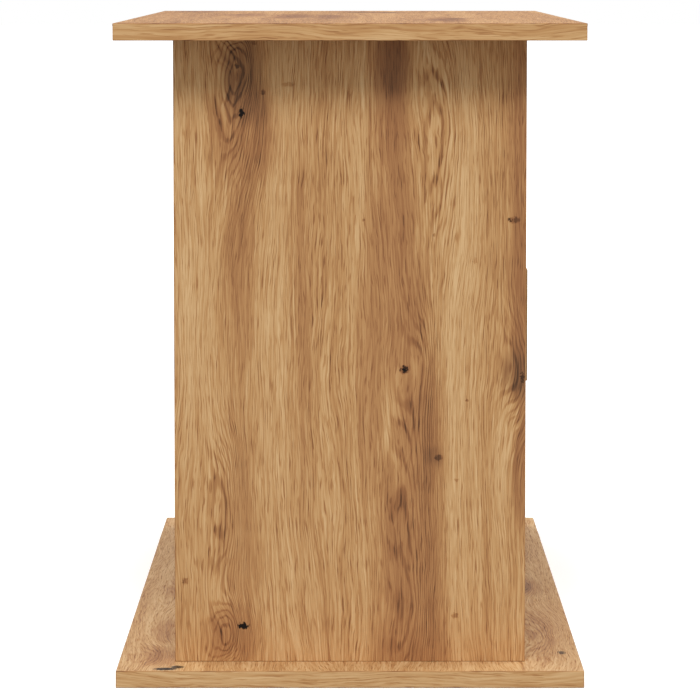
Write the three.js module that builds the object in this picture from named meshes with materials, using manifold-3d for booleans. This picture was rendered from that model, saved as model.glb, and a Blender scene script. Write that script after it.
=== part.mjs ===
// Aquarium stand cabinet: an open flat-pack carcass of faced 15 mm board, with one drawer on roller
// runners between its two dividers. Top and base overhang the carcass on all four sides.
// Millimetres, +Z up, front towards -Y, length along X, origin under the centre of the base.
import * as THREE from 'three';
import { mergeVertices } from 'three/addons/utils/BufferGeometryUtils.js';
import Module from 'manifold-3d';

const wasm = await Module();
wasm.setup();

// ---- Driving dimensions: carcass ----
const LENGTH = 1010;
const DEPTH = 410;
const HEIGHT = 580;
const BOARD = 15;
const OVERHANG = 50;
const CENTRE_BAY = 220;
const SHELF_SETBACK = 5;
const SHELF_PLAY = 0.5;
const BAY_GAP = 0.5;
const BACK_THICKNESS = 3;
const BACK_INSET = 13.5;
const GROOVE_PLAY = 0.25;
const BACK_IN_GROOVE = 5;
const GROOVE_DEPTH = 6;

// ---- Driving dimensions: drawer ----
const FRONT_HEIGHT = 107;
const FRONT_BOTTOM = 232;
const FRONT_REVEAL = 2;
const FRONT_GAP = 0.5;
const NOTCH_HALF_WIDTH = 45;
const NOTCH_DEPTH = 28;
const NOTCH_CORNER = 16;
const NOTCH_LIP = 5;
const BOX_BOARD = 12;
const BOX_DEPTH = 250;
const BOX_HEIGHT = 60;
const BOX_BOTTOM = 247.5;
const BOTTOM_THICKNESS = 3;
const BOTTOM_RAISE = 5.5;
const BOTTOM_IN_GROOVE = 4.5;
const BOTTOM_GROOVE = 5;

// ---- Driving dimensions: runners ----
const RUNNER_GAP = 12.5;
const SHEET = 1.25;
const TRACK_BOTTOM = 245;
const TRACK_HEIGHT = 17.5;
const TRACK_WIDTH = 9.5;
const TRACK_LIP = 2;
const RUNNING_FLANGE_Z = 263.75;
const RUNNING_FLANGE_EDGE = 2.5;
const SUPPORT_FLANGE = 10.5;
const RUNNER_END_PLAY = 1;
const TRACK_START = 19;
const ROLLER_RADIUS = 7;
const ROLLER_WIDTH = 5.25;
const ROLLER_CENTRE = 5.375;
const ROLLER_CHAMFER = 0.625;
const ROLLER_BORE = 2.25;
const ROLLER_PLAY = 0.125;
const FRONT_ROLLER_INSET = 9;
const REAR_ROLLER_INSET = 10.5;
const AXLE_RADIUS = 2;
const SHOULDER_RADIUS = 3;
const RIVET_HEAD_RADIUS = 3.25;
const RIVET_HEAD = 1;
const AXLE_END_PLAY = 0.25;
const RUNNER_SCREW_HOLE = 2.25;
const RUNNER_SCREW_INSETS = [37, 133, 229];

// ---- Driving dimensions: fittings ----
const FITTING_Y = 110;
const CAM_RADIUS = 7.4;
const CAM_THICKNESS = 12;
const CAM_HOLE_RADIUS = 7.75;
const CAM_HOLE_DEPTH = 12.5;
const CAM_FROM_EDGE = 24;
const CAM_POCKET_RADIUS = 3.9;
const CAM_CROSS_WIDTH = 1.6;
const CAM_CROSS_LENGTH = 8;
const CAM_CROSS_DEPTH = 1.5;
const BOLT_HOLE_RADIUS = 4.25;
const BOLT_THREAD_HOLE_RADIUS = 2.8;
const BOLT_THREAD_HOLE_DEPTH = 11.5;
const SCREW_THREAD_HOLE_RADIUS = 3;
const SCREW_SHANK_HOLE_RADIUS = 3.9;
const SCREW_SINK_RADIUS = 5.75;
const SCREW_SINK_DEPTH = 5;
const SCREW_HOLE_DEPTH = 37;
const PIN_FRONT_INSET = 37;
const PIN_REAR_INSET = 54;
const PIN_PITCH = 32;
const PIN_HEAD_RADIUS = 3.5;
const PIN_PLAY = 0.125;
const PIN_HOLE_RADIUS = 2.75;
const PIN_HOLE_DEPTH = 10;
const FRONT_SCREW_X = 50;
const FRONT_SCREW_RADIUS = 2;
const FRONT_SCREW_HEAD = 4;
const FRONT_SCREW_HEAD_LENGTH = 2.4;
const FRONT_SCREW_GRIP = 21.5;
const FRONT_SCREW_PLAY = 0.25;
const FRONT_SCREW_HOLE = 2.25;
const FRONT_SCREW_HOLE_DEPTH = 10.5;

// Turned fittings, as [radius, height] pairs from the axis round to the axis again.
// Cam bolt, from the top's underside: ball head, neck, shank, collar and thread.
const CAM_BOLT_PROFILE = [
  [0, -25.5], [3.2, -25.5], [3.2, -22], [2, -22], [2, -18], [3, -18],
  [3, -2], [3.75, -2], [3.75, -0.5], [2.5, -0.5], [2.5, 11], [0, 11],
];
// Connecting screw, from the base's underside: countersunk head, shank and thread.
const CONNECTING_SCREW_PROFILE = [
  [0, 0.5], [5, 0.5], [3.5, 4.5], [3.5, 14.5], [2.6, 15], [2.6, 46], [0, 48.5],
];
// Shelf pin, from the upright's face: shank and head.
const SHELF_PIN_PROFILE = [
  [0, -9.5], [2.5, -9.5], [2.5, 0.25], [PIN_HEAD_RADIUS, 0.25], [PIN_HEAD_RADIUS, 8], [0, 8],
];

// ---- Facets of round pieces, and how far a cutter reaches past what it cuts ----
const SIDES_LARGE = 20;
const SIDES_SMALL = 12;
const CURVE_SEGMENTS = 6;
const PAST = 1;

// ---- Derived places ----
const CARCASS_X = LENGTH / 2 - OVERHANG;
const CARCASS_Y = DEPTH / 2 - OVERHANG;
const FLOOR_Z = BOARD;
const CEILING_Z = HEIGHT - BOARD;
const DIVIDER_X = CENTRE_BAY / 2;
const BACK_FACE = CARCASS_Y - BACK_INSET - BACK_THICKNESS;
const BAY_REAR = BACK_FACE - BAY_GAP;
const SHELF_Z = (HEIGHT - BOARD) / 2;
const PIN_Z = SHELF_Z - PIN_HEAD_RADIUS - PIN_PLAY;
const PIN_YS = [-CARCASS_Y + PIN_FRONT_INSET, CARCASS_Y - PIN_REAR_INSET];
const FLOOR_SHELF_Z = FRONT_BOTTOM - BOARD / 2;
const ROOF_SHELF_Z = FRONT_BOTTOM + FRONT_HEIGHT - BOARD / 2;
const CAM_Z = CEILING_Z - CAM_FROM_EDGE;
const BOX_X = DIVIDER_X - RUNNER_GAP;
const BOX_FRONT_Y = -CARCASS_Y - FRONT_GAP;
const BOX_REAR_Y = BOX_FRONT_Y + BOX_DEPTH;
const BOX_TOP = BOX_BOTTOM + BOX_HEIGHT;
const BOTTOM_Z = BOX_BOTTOM + BOTTOM_RAISE;
const TRACK_TOP = TRACK_BOTTOM + TRACK_HEIGHT;
const FRONT_ROLLER_Y = -CARCASS_Y + FRONT_ROLLER_INSET;
const FRONT_ROLLER_Z = RUNNING_FLANGE_Z - ROLLER_PLAY - ROLLER_RADIUS;
const REAR_ROLLER_Y = BOX_REAR_Y - REAR_ROLLER_INSET;
const REAR_ROLLER_Z = TRACK_BOTTOM + SHEET + ROLLER_PLAY + ROLLER_RADIUS;

// ---- Finishes ----
const OAK = { color: 0xb98c5c, roughness: 0.5, metalness: 0 };
const HARDBOARD = { color: 0x8a6a48, roughness: 0.7, metalness: 0 };
const WHITE_STEEL = { color: 0xe4e4e0, roughness: 0.4, metalness: 0.1 };
const NYLON = { color: 0xf2f1ec, roughness: 0.45, metalness: 0 };
const ZINC = { color: 0xb8bbbe, roughness: 0.35, metalness: 0.9 };

// Both sides of the cabinet, as the sign of X.
const SIDES = { left: -1, right: 1 };
// Turns a profile drawn in X and Y, extruded along Z, to stand in X and Z and run towards -Y.
const STAND_UP = new THREE.Matrix4().makeBasis(
  new THREE.Vector3(1, 0, 0),
  new THREE.Vector3(0, 0, 1),
  new THREE.Vector3(0, -1, 0),
);

// ---- Geometry helpers ----

// A block between two values on each axis, given in either order.
function block([x0, x1], [y0, y1], [z0, z1]) {
  const geometry = new THREE.BoxGeometry(Math.abs(x1 - x0), Math.abs(y1 - y0), Math.abs(z1 - z0));
  return geometry.translate((x0 + x1) / 2, (y0 + y1) / 2, (z0 + z1) / 2);
}

// A lathe or cylinder drawn along +Y is laid along one of the axes, starting at a point.
function along(axis, geometry, [x, y, z]) {
  if (axis === '+x') geometry.rotateZ(-Math.PI / 2);
  if (axis === '-x') geometry.rotateZ(Math.PI / 2);
  if (axis === '+z') geometry.rotateX(Math.PI / 2);
  if (axis === '-y') geometry.rotateX(Math.PI);
  return geometry.translate(x, y, z);
}

// A rod of one radius, from a point along an axis.
function rod(axis, start, length, radius, sides = SIDES_SMALL) {
  const geometry = new THREE.CylinderGeometry(radius, radius, length, sides);
  return along(axis, geometry.translate(0, length / 2, 0), start);
}

// A turned piece from [radius, height] pairs, laid along an axis from a point.
function turned(axis, start, profile, sides = SIDES_SMALL) {
  const points = profile.map(([radius, height]) => new THREE.Vector2(radius, height));
  return along(axis, new THREE.LatheGeometry(points, sides), start);
}

// A flat outline in X and Z, extruded along Y between two values.
function extruded(outline, y0, y1) {
  const geometry = new THREE.ExtrudeGeometry(outline, {
    depth: y1 - y0,
    bevelEnabled: false,
    curveSegments: CURVE_SEGMENTS,
  });
  return geometry.applyMatrix4(STAND_UP).translate(0, y1, 0);
}

// A manifold solid from a closed geometry.
function toSolid(geometry) {
  const bare = geometry.clone();
  bare.deleteAttribute('normal');
  bare.deleteAttribute('uv');
  const merged = mergeVertices(bare);
  return new wasm.Manifold(new wasm.Mesh({
    numProp: 3,
    vertProperties: new Float32Array(merged.attributes.position.array),
    triVerts: new Uint32Array(merged.index.array),
  }));
}

// A three.js geometry from a manifold solid.
function toGeometry(solid) {
  const { vertProperties, triVerts } = solid.getMesh();
  const geometry = new THREE.BufferGeometry();
  geometry.setAttribute('position', new THREE.BufferAttribute(vertProperties, 3));
  geometry.setIndex(new THREE.BufferAttribute(triVerts, 1));
  geometry.computeVertexNormals();
  return geometry;
}

// A geometry with others cut out of it.
function cut(geometry, cutters) {
  const carved = cutters.reduce((solid, cutter) => solid.subtract(toSolid(cutter)), toSolid(geometry));
  return toGeometry(carved);
}

// Geometries joined into one.
function joined(first, ...others) {
  return toGeometry(others.reduce((solid, other) => solid.add(toSolid(other)), toSolid(first)));
}

// Adds a named mesh to a group, with its own material and its position at its middle.
function addPart(group, name, finish, geometry) {
  geometry.computeBoundingBox();
  const middle = geometry.boundingBox.getCenter(new THREE.Vector3());
  geometry.translate(-middle.x, -middle.y, -middle.z);
  const mesh = new THREE.Mesh(geometry, new THREE.MeshStandardMaterial(finish));
  mesh.name = name;
  mesh.position.copy(middle);
  group.add(mesh);
}

// ---- Carcass ----

// The upright boards: which face the cams sit in, which face the shelf pins sit in, and the depth.
const UPRIGHTS = [
  { name: 'side_panel_left', x: -CARCASS_X, rear: CARCASS_Y, camSide: 1, pinSide: 1 },
  { name: 'divider_left', x: -DIVIDER_X - BOARD, rear: BAY_REAR, camSide: 1, pinSide: -1 },
  { name: 'divider_right', x: DIVIDER_X, rear: BAY_REAR, camSide: -1, pinSide: 1 },
  { name: 'side_panel_right', x: CARCASS_X - BOARD, rear: CARCASS_Y, camSide: -1, pinSide: -1 },
];

// The X of an upright's face on the side of the given sign.
function faceX(upright, side) {
  return upright.x + (side > 0 ? BOARD : 0);
}

// The groove that holds the back, as one frame-sized block cut from every board around it.
function backGroove() {
  const reach = CARCASS_X - BOARD + GROOVE_DEPTH;
  return block(
    [-reach, reach],
    [BACK_FACE - GROOVE_PLAY, BACK_FACE + BACK_THICKNESS + GROOVE_PLAY],
    [FLOOR_Z - GROOVE_DEPTH, CEILING_Z + GROOVE_DEPTH],
  );
}

// Every place where an upright is joined to the top and to the base.
function fittingPlaces() {
  return UPRIGHTS.flatMap((upright) => [
    { upright, x: upright.x + BOARD / 2, y: -FITTING_Y, end: 'front' },
    { upright, x: upright.x + BOARD / 2, y: FITTING_Y, end: 'rear' },
  ]);
}

function topPanel() {
  const slab = block([-LENGTH / 2, LENGTH / 2], [-DEPTH / 2, DEPTH / 2], [CEILING_Z, HEIGHT]);
  const depth = BOLT_THREAD_HOLE_DEPTH + PAST;
  const holes = fittingPlaces().map(({ x, y }) => (
    rod('+z', [x, y, CEILING_Z - PAST], depth, BOLT_THREAD_HOLE_RADIUS)
  ));
  return cut(slab, [backGroove(), ...holes]);
}

function basePanel() {
  const slab = block([-LENGTH / 2, LENGTH / 2], [-DEPTH / 2, DEPTH / 2], [0, FLOOR_Z]);
  const holes = fittingPlaces().map(({ x, y }) => turned('+z', [x, y, 0], [
    [0, -PAST],
    [SCREW_SINK_RADIUS, -PAST],
    [SCREW_SHANK_HOLE_RADIUS, SCREW_SINK_DEPTH],
    [SCREW_SHANK_HOLE_RADIUS, BOARD + PAST],
    [0, BOARD + PAST],
  ]));
  return cut(slab, [backGroove(), ...holes]);
}

function uprightPanel(upright) {
  const xs = [upright.x, upright.x + BOARD];
  const panel = block(xs, [-CARCASS_Y, upright.rear], [FLOOR_Z, CEILING_Z]);
  const camX = faceX(upright, upright.camSide) + upright.camSide * PAST;
  const pinX = faceX(upright, upright.pinSide) + upright.pinSide * PAST;
  const camAxis = upright.camSide > 0 ? '-x' : '+x';
  const pinAxis = upright.pinSide > 0 ? '-x' : '+x';
  const places = fittingPlaces().filter((place) => place.upright === upright);
  const fittingHoles = places.flatMap(({ x, y }) => [
    rod(camAxis, [camX, y, CAM_Z], CAM_HOLE_DEPTH + PAST, CAM_HOLE_RADIUS, SIDES_LARGE),
    rod('+z', [x, y, CAM_Z], CAM_FROM_EDGE + PAST, BOLT_HOLE_RADIUS),
    rod('+z', [x, y, FLOOR_Z - PAST], SCREW_HOLE_DEPTH + PAST, SCREW_THREAD_HOLE_RADIUS),
  ]);
  const pinHoles = PIN_YS.flatMap((y) => [-PIN_PITCH, 0, PIN_PITCH].map((step) => (
    rod(pinAxis, [pinX, y, PIN_Z + step], PIN_HOLE_DEPTH + PAST, PIN_HOLE_RADIUS)
  )));
  return cut(panel, [backGroove(), ...fittingHoles, ...pinHoles]);
}

// A loose shelf in a side bay, a little set back from the front and short of the boards beside it.
function sideShelf(side) {
  const outer = side * (CARCASS_X - BOARD - SHELF_PLAY);
  const inner = side * (DIVIDER_X + BOARD + SHELF_PLAY);
  return block([inner, outer], [-CARCASS_Y + SHELF_SETBACK, BAY_REAR], [SHELF_Z, SHELF_Z + BOARD]);
}

// A fixed shelf between the dividers.
function centreShelf(bottom) {
  return block([-DIVIDER_X, DIVIDER_X], [-CARCASS_Y, BAY_REAR], [bottom, bottom + BOARD]);
}

function backPanel() {
  const reach = CARCASS_X - BOARD + BACK_IN_GROOVE;
  return block(
    [-reach, reach],
    [BACK_FACE, BACK_FACE + BACK_THICKNESS],
    [FLOOR_Z - BACK_IN_GROOVE, CEILING_Z + BACK_IN_GROOVE],
  );
}

function addCarcass(group) {
  addPart(group, 'top_panel', OAK, topPanel());
  addPart(group, 'base_panel', OAK, basePanel());
  UPRIGHTS.forEach((upright) => addPart(group, upright.name, OAK, uprightPanel(upright)));
  Object.entries(SIDES).forEach(([name, side]) => {
    addPart(group, `shelf_${name}`, OAK, sideShelf(side));
  });
  addPart(group, 'drawer_floor_shelf', OAK, centreShelf(FLOOR_SHELF_Z));
  addPart(group, 'drawer_roof_shelf', OAK, centreShelf(ROOF_SHELF_Z));
  addPart(group, 'back_panel', HARDBOARD, backPanel());
}

// ---- Drawer ----

// The front's outline: a rectangle with a rounded finger notch in its top edge.
function frontOutline() {
  const half = DIVIDER_X + BOARD - FRONT_REVEAL;
  const top = FRONT_BOTTOM + FRONT_HEIGHT;
  const floor = top - NOTCH_DEPTH;
  const foot = NOTCH_HALF_WIDTH - NOTCH_LIP;
  const outline = new THREE.Shape();
  outline.moveTo(-half, FRONT_BOTTOM);
  outline.lineTo(half, FRONT_BOTTOM);
  outline.lineTo(half, top);
  outline.lineTo(NOTCH_HALF_WIDTH, top);
  outline.quadraticCurveTo(foot, top, foot, top - NOTCH_LIP);
  outline.lineTo(foot, floor + NOTCH_CORNER);
  outline.quadraticCurveTo(foot, floor, foot - NOTCH_CORNER, floor);
  outline.lineTo(NOTCH_CORNER - foot, floor);
  outline.quadraticCurveTo(-foot, floor, -foot, floor + NOTCH_CORNER);
  outline.lineTo(-foot, top - NOTCH_LIP);
  outline.quadraticCurveTo(-foot, top, -NOTCH_HALF_WIDTH, top);
  outline.lineTo(-half, top);
  outline.closePath();
  return outline;
}

const FRONT_SCREW_XS = [-FRONT_SCREW_X, FRONT_SCREW_X];
const FRONT_SCREW_Z = BOX_BOTTOM + BOX_HEIGHT / 2;

function drawerFront() {
  const slab = extruded(frontOutline(), BOX_FRONT_Y - BOARD, BOX_FRONT_Y);
  const holes = FRONT_SCREW_XS.map((x) => rod(
    '-y', [x, BOX_FRONT_Y + PAST, FRONT_SCREW_Z], FRONT_SCREW_HOLE_DEPTH + PAST, FRONT_SCREW_HOLE,
  ));
  return cut(slab, holes);
}

// The groove around the inside of the box, cut as one block, that holds the drawer's bottom.
function bottomGroove() {
  const reach = BOX_X - BOX_BOARD + BOTTOM_GROOVE;
  const edge = BOX_BOARD - BOTTOM_GROOVE;
  return block(
    [-reach, reach],
    [BOX_FRONT_Y + edge, BOX_REAR_Y - edge],
    [BOTTOM_Z - GROOVE_PLAY, BOTTOM_Z + BOTTOM_THICKNESS + GROOVE_PLAY],
  );
}

function boxSide(side) {
  const xs = [side * (BOX_X - BOX_BOARD), side * BOX_X];
  const board = block(xs, [BOX_FRONT_Y, BOX_REAR_Y], [BOX_BOTTOM, BOX_TOP]);
  return cut(board, [bottomGroove()]);
}

function boxEnd(y0) {
  const reach = BOX_X - BOX_BOARD;
  return block([-reach, reach], [y0, y0 + BOX_BOARD], [BOX_BOTTOM, BOX_TOP]);
}

function boxFront() {
  const holes = FRONT_SCREW_XS.map((x) => rod(
    '-y', [x, BOX_FRONT_Y + BOX_BOARD + PAST, FRONT_SCREW_Z], BOX_BOARD + 2 * PAST, FRONT_SCREW_HOLE,
  ));
  return cut(boxEnd(BOX_FRONT_Y), [bottomGroove(), ...holes]);
}

function boxBottom() {
  const reach = BOX_X - BOX_BOARD + BOTTOM_IN_GROOVE;
  const edge = BOX_BOARD - BOTTOM_IN_GROOVE;
  return block(
    [-reach, reach],
    [BOX_FRONT_Y + edge, BOX_REAR_Y - edge],
    [BOTTOM_Z, BOTTOM_Z + BOTTOM_THICKNESS],
  );
}

function frontScrew(x) {
  const headTop = BOX_FRONT_Y + BOX_BOARD + FRONT_SCREW_PLAY + FRONT_SCREW_HEAD_LENGTH;
  return turned('-y', [x, headTop, FRONT_SCREW_Z], [
    [0, 0],
    [FRONT_SCREW_HEAD, 0],
    [FRONT_SCREW_HEAD, FRONT_SCREW_HEAD_LENGTH],
    [FRONT_SCREW_RADIUS, FRONT_SCREW_HEAD_LENGTH],
    [FRONT_SCREW_RADIUS, FRONT_SCREW_HEAD_LENGTH + FRONT_SCREW_GRIP],
    [0, FRONT_SCREW_HEAD_LENGTH + FRONT_SCREW_GRIP],
  ]);
}

function addDrawer(group) {
  addPart(group, 'drawer_front', OAK, drawerFront());
  addPart(group, 'drawer_box_front', OAK, boxFront());
  addPart(group, 'drawer_box_back', OAK, cut(boxEnd(BOX_REAR_Y - BOX_BOARD), [bottomGroove()]));
  addPart(group, 'drawer_bottom', HARDBOARD, boxBottom());
  Object.entries(SIDES).forEach(([name, side]) => {
    addPart(group, `drawer_side_${name}`, OAK, boxSide(side));
    addPart(group, `drawer_front_screw_${name}`, ZINC, frontScrew(side * FRONT_SCREW_X));
  });
}

// ---- Runners ----

// An X inside the gap beside the drawer, at a distance from the divider's face.
function gapX(side, distance) {
  return side * (DIVIDER_X - distance);
}

// A closed outline from points given as distance from the divider and height.
function gapOutline(side, points) {
  return new THREE.Shape(points.map(([distance, z]) => new THREE.Vector2(gapX(side, distance), z)));
}

// The turned axle of a roller, from the sheet that carries it: shoulder, pin and riveted head.
function axle(side, from, towards, y, z) {
  const near = ROLLER_CENTRE - towards * (ROLLER_WIDTH / 2 + AXLE_END_PLAY);
  const shoulder = Math.abs(near - from);
  const pin = ROLLER_WIDTH + 2 * AXLE_END_PLAY;
  const axis = side * towards > 0 ? '-x' : '+x';
  return turned(axis, [gapX(side, from), y, z], [
    [0, 0],
    [SHOULDER_RADIUS, 0],
    [SHOULDER_RADIUS, shoulder],
    [AXLE_RADIUS, shoulder],
    [AXLE_RADIUS, shoulder + pin],
    [RIVET_HEAD_RADIUS, shoulder + pin],
    [RIVET_HEAD_RADIUS, shoulder + pin + RIVET_HEAD - AXLE_END_PLAY],
    [0, shoulder + pin + RIVET_HEAD - AXLE_END_PLAY],
  ]);
}

// The member on the divider: a channel open towards the drawer, with a roller's axle at its front.
function cabinetRunner(side) {
  const lip = TRACK_WIDTH - SHEET;
  const channel = extruded(gapOutline(side, [
    [0, TRACK_BOTTOM],
    [TRACK_WIDTH, TRACK_BOTTOM],
    [TRACK_WIDTH, TRACK_BOTTOM + SHEET + TRACK_LIP],
    [lip, TRACK_BOTTOM + SHEET + TRACK_LIP],
    [lip, TRACK_BOTTOM + SHEET],
    [SHEET, TRACK_BOTTOM + SHEET],
    [SHEET, TRACK_TOP - SHEET],
    [lip, TRACK_TOP - SHEET],
    [lip, TRACK_TOP - SHEET - TRACK_LIP],
    [TRACK_WIDTH, TRACK_TOP - SHEET - TRACK_LIP],
    [TRACK_WIDTH, TRACK_TOP],
    [0, TRACK_TOP],
  ]), -CARCASS_Y + RUNNER_END_PLAY, -CARCASS_Y + RUNNER_END_PLAY + BOX_DEPTH);
  const noseRoom = block(
    [gapX(side, SHEET), gapX(side, TRACK_WIDTH + PAST)],
    [-CARCASS_Y, -CARCASS_Y + TRACK_START],
    [TRACK_BOTTOM - PAST, TRACK_TOP + PAST],
  );
  const holes = RUNNER_SCREW_INSETS.map((inset) => rod(
    side > 0 ? '-x' : '+x',
    [gapX(side, -PAST), -CARCASS_Y + inset, TRACK_BOTTOM + TRACK_HEIGHT / 2],
    SHEET + 2 * PAST,
    RUNNER_SCREW_HOLE,
  ));
  const pivot = axle(side, SHEET / 2, 1, FRONT_ROLLER_Y, FRONT_ROLLER_Z);
  return cut(joined(cut(channel, [noseRoom]), pivot), holes);
}

// The member on the drawer: it carries the side board, rolls on the front roller and holds the rear
// roller.
function drawerRunner(side) {
  const wall = RUNNER_GAP - SHEET;
  const flangeTop = RUNNING_FLANGE_Z + SHEET;
  const profile = extruded(gapOutline(side, [
    [RUNNER_GAP + SUPPORT_FLANGE, BOX_BOTTOM - SHEET],
    [RUNNER_GAP + SUPPORT_FLANGE, BOX_BOTTOM],
    [RUNNER_GAP, BOX_BOTTOM],
    [RUNNER_GAP, flangeTop],
    [RUNNING_FLANGE_EDGE, flangeTop],
    [RUNNING_FLANGE_EDGE, RUNNING_FLANGE_Z],
    [wall, RUNNING_FLANGE_Z],
    [wall, BOX_BOTTOM - SHEET],
  ]), BOX_FRONT_Y + RUNNER_END_PLAY, BOX_REAR_Y);
  return joined(profile, axle(side, RUNNER_GAP - SHEET / 2, -1, REAR_ROLLER_Y, REAR_ROLLER_Z));
}

function roller(side, y, z) {
  const half = ROLLER_WIDTH / 2;
  return turned('+x', [gapX(side, ROLLER_CENTRE), y, z], [
    [ROLLER_BORE, -half],
    [ROLLER_RADIUS - ROLLER_CHAMFER, -half],
    [ROLLER_RADIUS, ROLLER_CHAMFER - half],
    [ROLLER_RADIUS, half - ROLLER_CHAMFER],
    [ROLLER_RADIUS - ROLLER_CHAMFER, half],
    [ROLLER_BORE, half],
    [ROLLER_BORE, -half],
  ], SIDES_LARGE);
}

function addRunners(carcass, drawer) {
  Object.entries(SIDES).forEach(([name, side]) => {
    addPart(carcass, `cabinet_runner_${name}`, WHITE_STEEL, cabinetRunner(side));
    addPart(carcass, `front_roller_${name}`, NYLON, roller(side, FRONT_ROLLER_Y, FRONT_ROLLER_Z));
    addPart(drawer, `drawer_runner_${name}`, WHITE_STEEL, drawerRunner(side));
    addPart(drawer, `rear_roller_${name}`, NYLON, roller(side, REAR_ROLLER_Y, REAR_ROLLER_Z));
  });
}

// ---- Fittings ----

// A cam lock in an upright's face: a drum with a pocket for the bolt's head and a driver cross.
function camLock(upright, y) {
  const { camSide } = upright;
  const face = faceX(upright, camSide);
  const inward = camSide > 0 ? '-x' : '+x';
  const drum = rod(inward, [face, y, CAM_Z], CAM_THICKNESS, CAM_RADIUS, SIDES_LARGE);
  const middle = upright.x + BOARD / 2;
  const pocketStart = [middle, y, CAM_Z - CAM_POCKET_RADIUS];
  const pocket = rod('+z', pocketStart, CAM_RADIUS * 2, CAM_POCKET_RADIUS);
  const crossX = [face - camSide * CAM_CROSS_DEPTH, face + camSide * PAST];
  const long = CAM_CROSS_LENGTH / 2;
  const slim = CAM_CROSS_WIDTH / 2;
  const cross = [
    block(crossX, [y - long, y + long], [CAM_Z - slim, CAM_Z + slim]),
    block(crossX, [y - slim, y + slim], [CAM_Z - long, CAM_Z + long]),
  ];
  return cut(drum, [pocket, ...cross]);
}

// A piece turned from a profile whose heights run along an axis from a point.
function addTurned(group, name, axis, start, profile) {
  addPart(group, name, ZINC, turned(axis, start, profile));
}

// Each place where an upright meets the top and the base has a cam lock, a cam bolt and a screw.
function addJoinery(group) {
  fittingPlaces().forEach(({ upright, x, y, end }) => {
    const place = `${upright.name}_${end}`;
    addPart(group, `cam_lock_${place}`, ZINC, camLock(upright, y));
    addTurned(group, `cam_bolt_${place}`, '+z', [x, y, CEILING_Z], CAM_BOLT_PROFILE);
    addTurned(group, `connecting_screw_${place}`, '+z', [x, y, 0], CONNECTING_SCREW_PROFILE);
  });
}

// Four pins under each loose shelf, two in each upright beside it.
function addShelfPins(group) {
  UPRIGHTS.forEach((upright) => {
    const axis = upright.pinSide > 0 ? '+x' : '-x';
    PIN_YS.forEach((y, index) => {
      const name = `shelf_pin_${upright.name}_${index === 0 ? 'front' : 'rear'}`;
      addTurned(group, name, axis, [faceX(upright, upright.pinSide), y, PIN_Z], SHELF_PIN_PROFILE);
    });
  });
}

// ---- Assembly ----

const cabinet = new THREE.Group();
const carcass = new THREE.Group();
const drawer = new THREE.Group();
cabinet.add(carcass, drawer);
addCarcass(carcass);
addDrawer(drawer);
addRunners(carcass, drawer);
addJoinery(carcass);
addShelfPins(carcass);

export default cabinet;
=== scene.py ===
"""Aquarium stand cabinet: an oak-decor flat-pack stand with a central drawer on roller runners.

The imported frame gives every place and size. Each board, runner, roller and fitting of the frame is
dressed or rebuilt here in fine detail, in metres, and rides on the body that it belongs to.
"""

from __future__ import annotations

import logging
import math
import random
from dataclasses import dataclass, field
from enum import Enum
from typing import Iterable, Sequence, Union

import bmesh
import bpy
from mathutils import Matrix, Vector


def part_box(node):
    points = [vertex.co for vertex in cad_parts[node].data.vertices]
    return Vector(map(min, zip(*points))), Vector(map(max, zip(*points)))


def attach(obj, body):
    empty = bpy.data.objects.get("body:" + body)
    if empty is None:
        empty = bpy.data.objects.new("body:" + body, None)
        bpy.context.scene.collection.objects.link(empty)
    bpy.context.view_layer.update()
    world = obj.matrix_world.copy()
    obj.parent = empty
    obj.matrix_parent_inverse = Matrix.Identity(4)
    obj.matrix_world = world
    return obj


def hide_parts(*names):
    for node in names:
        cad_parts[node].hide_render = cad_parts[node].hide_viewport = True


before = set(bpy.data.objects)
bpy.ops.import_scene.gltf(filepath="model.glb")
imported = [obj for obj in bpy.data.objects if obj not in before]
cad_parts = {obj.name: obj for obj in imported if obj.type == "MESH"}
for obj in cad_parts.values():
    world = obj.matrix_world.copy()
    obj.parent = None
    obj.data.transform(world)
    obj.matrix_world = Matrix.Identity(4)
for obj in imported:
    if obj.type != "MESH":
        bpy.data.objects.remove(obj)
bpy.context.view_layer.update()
LOG = logging.getLogger("aquarium_stand")
MM = 0.001
SIDES = {"left": -1.0, "right": 1.0}
UPRIGHTS = ("side_panel_left", "divider_left", "divider_right", "side_panel_right")
ENDS = {"front": -1.0, "rear": 1.0}
HEX_SIDES = 6
Value = Union[float, bpy.types.NodeSocket]


class Axis(Enum):
    """A direction of the frame."""

    X = 0
    Y = 1
    Z = 2


def linear(red: int, green: int, blue: int) -> tuple[float, float, float, float]:
    """Turns a screen colour into the linear colour that shaders take.

    Args:
        red: Red, from 0 to 255.
        green: Green, from 0 to 255.
        blue: Blue, from 0 to 255.

    Returns:
        The linear colour with an alpha of one.
    """
    parts = []
    for part in (red, green, blue):
        share = part / 255
        parts.append(share / 12.92 if share <= 0.04045 else ((share + 0.055) / 1.055) ** 2.4)
    return (parts[0], parts[1], parts[2], 1.0)


def other_axis(first: Axis, second: Axis) -> Axis:
    """Returns the axis that is neither of two others."""
    return Axis(3 - first.value - second.value)


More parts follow.
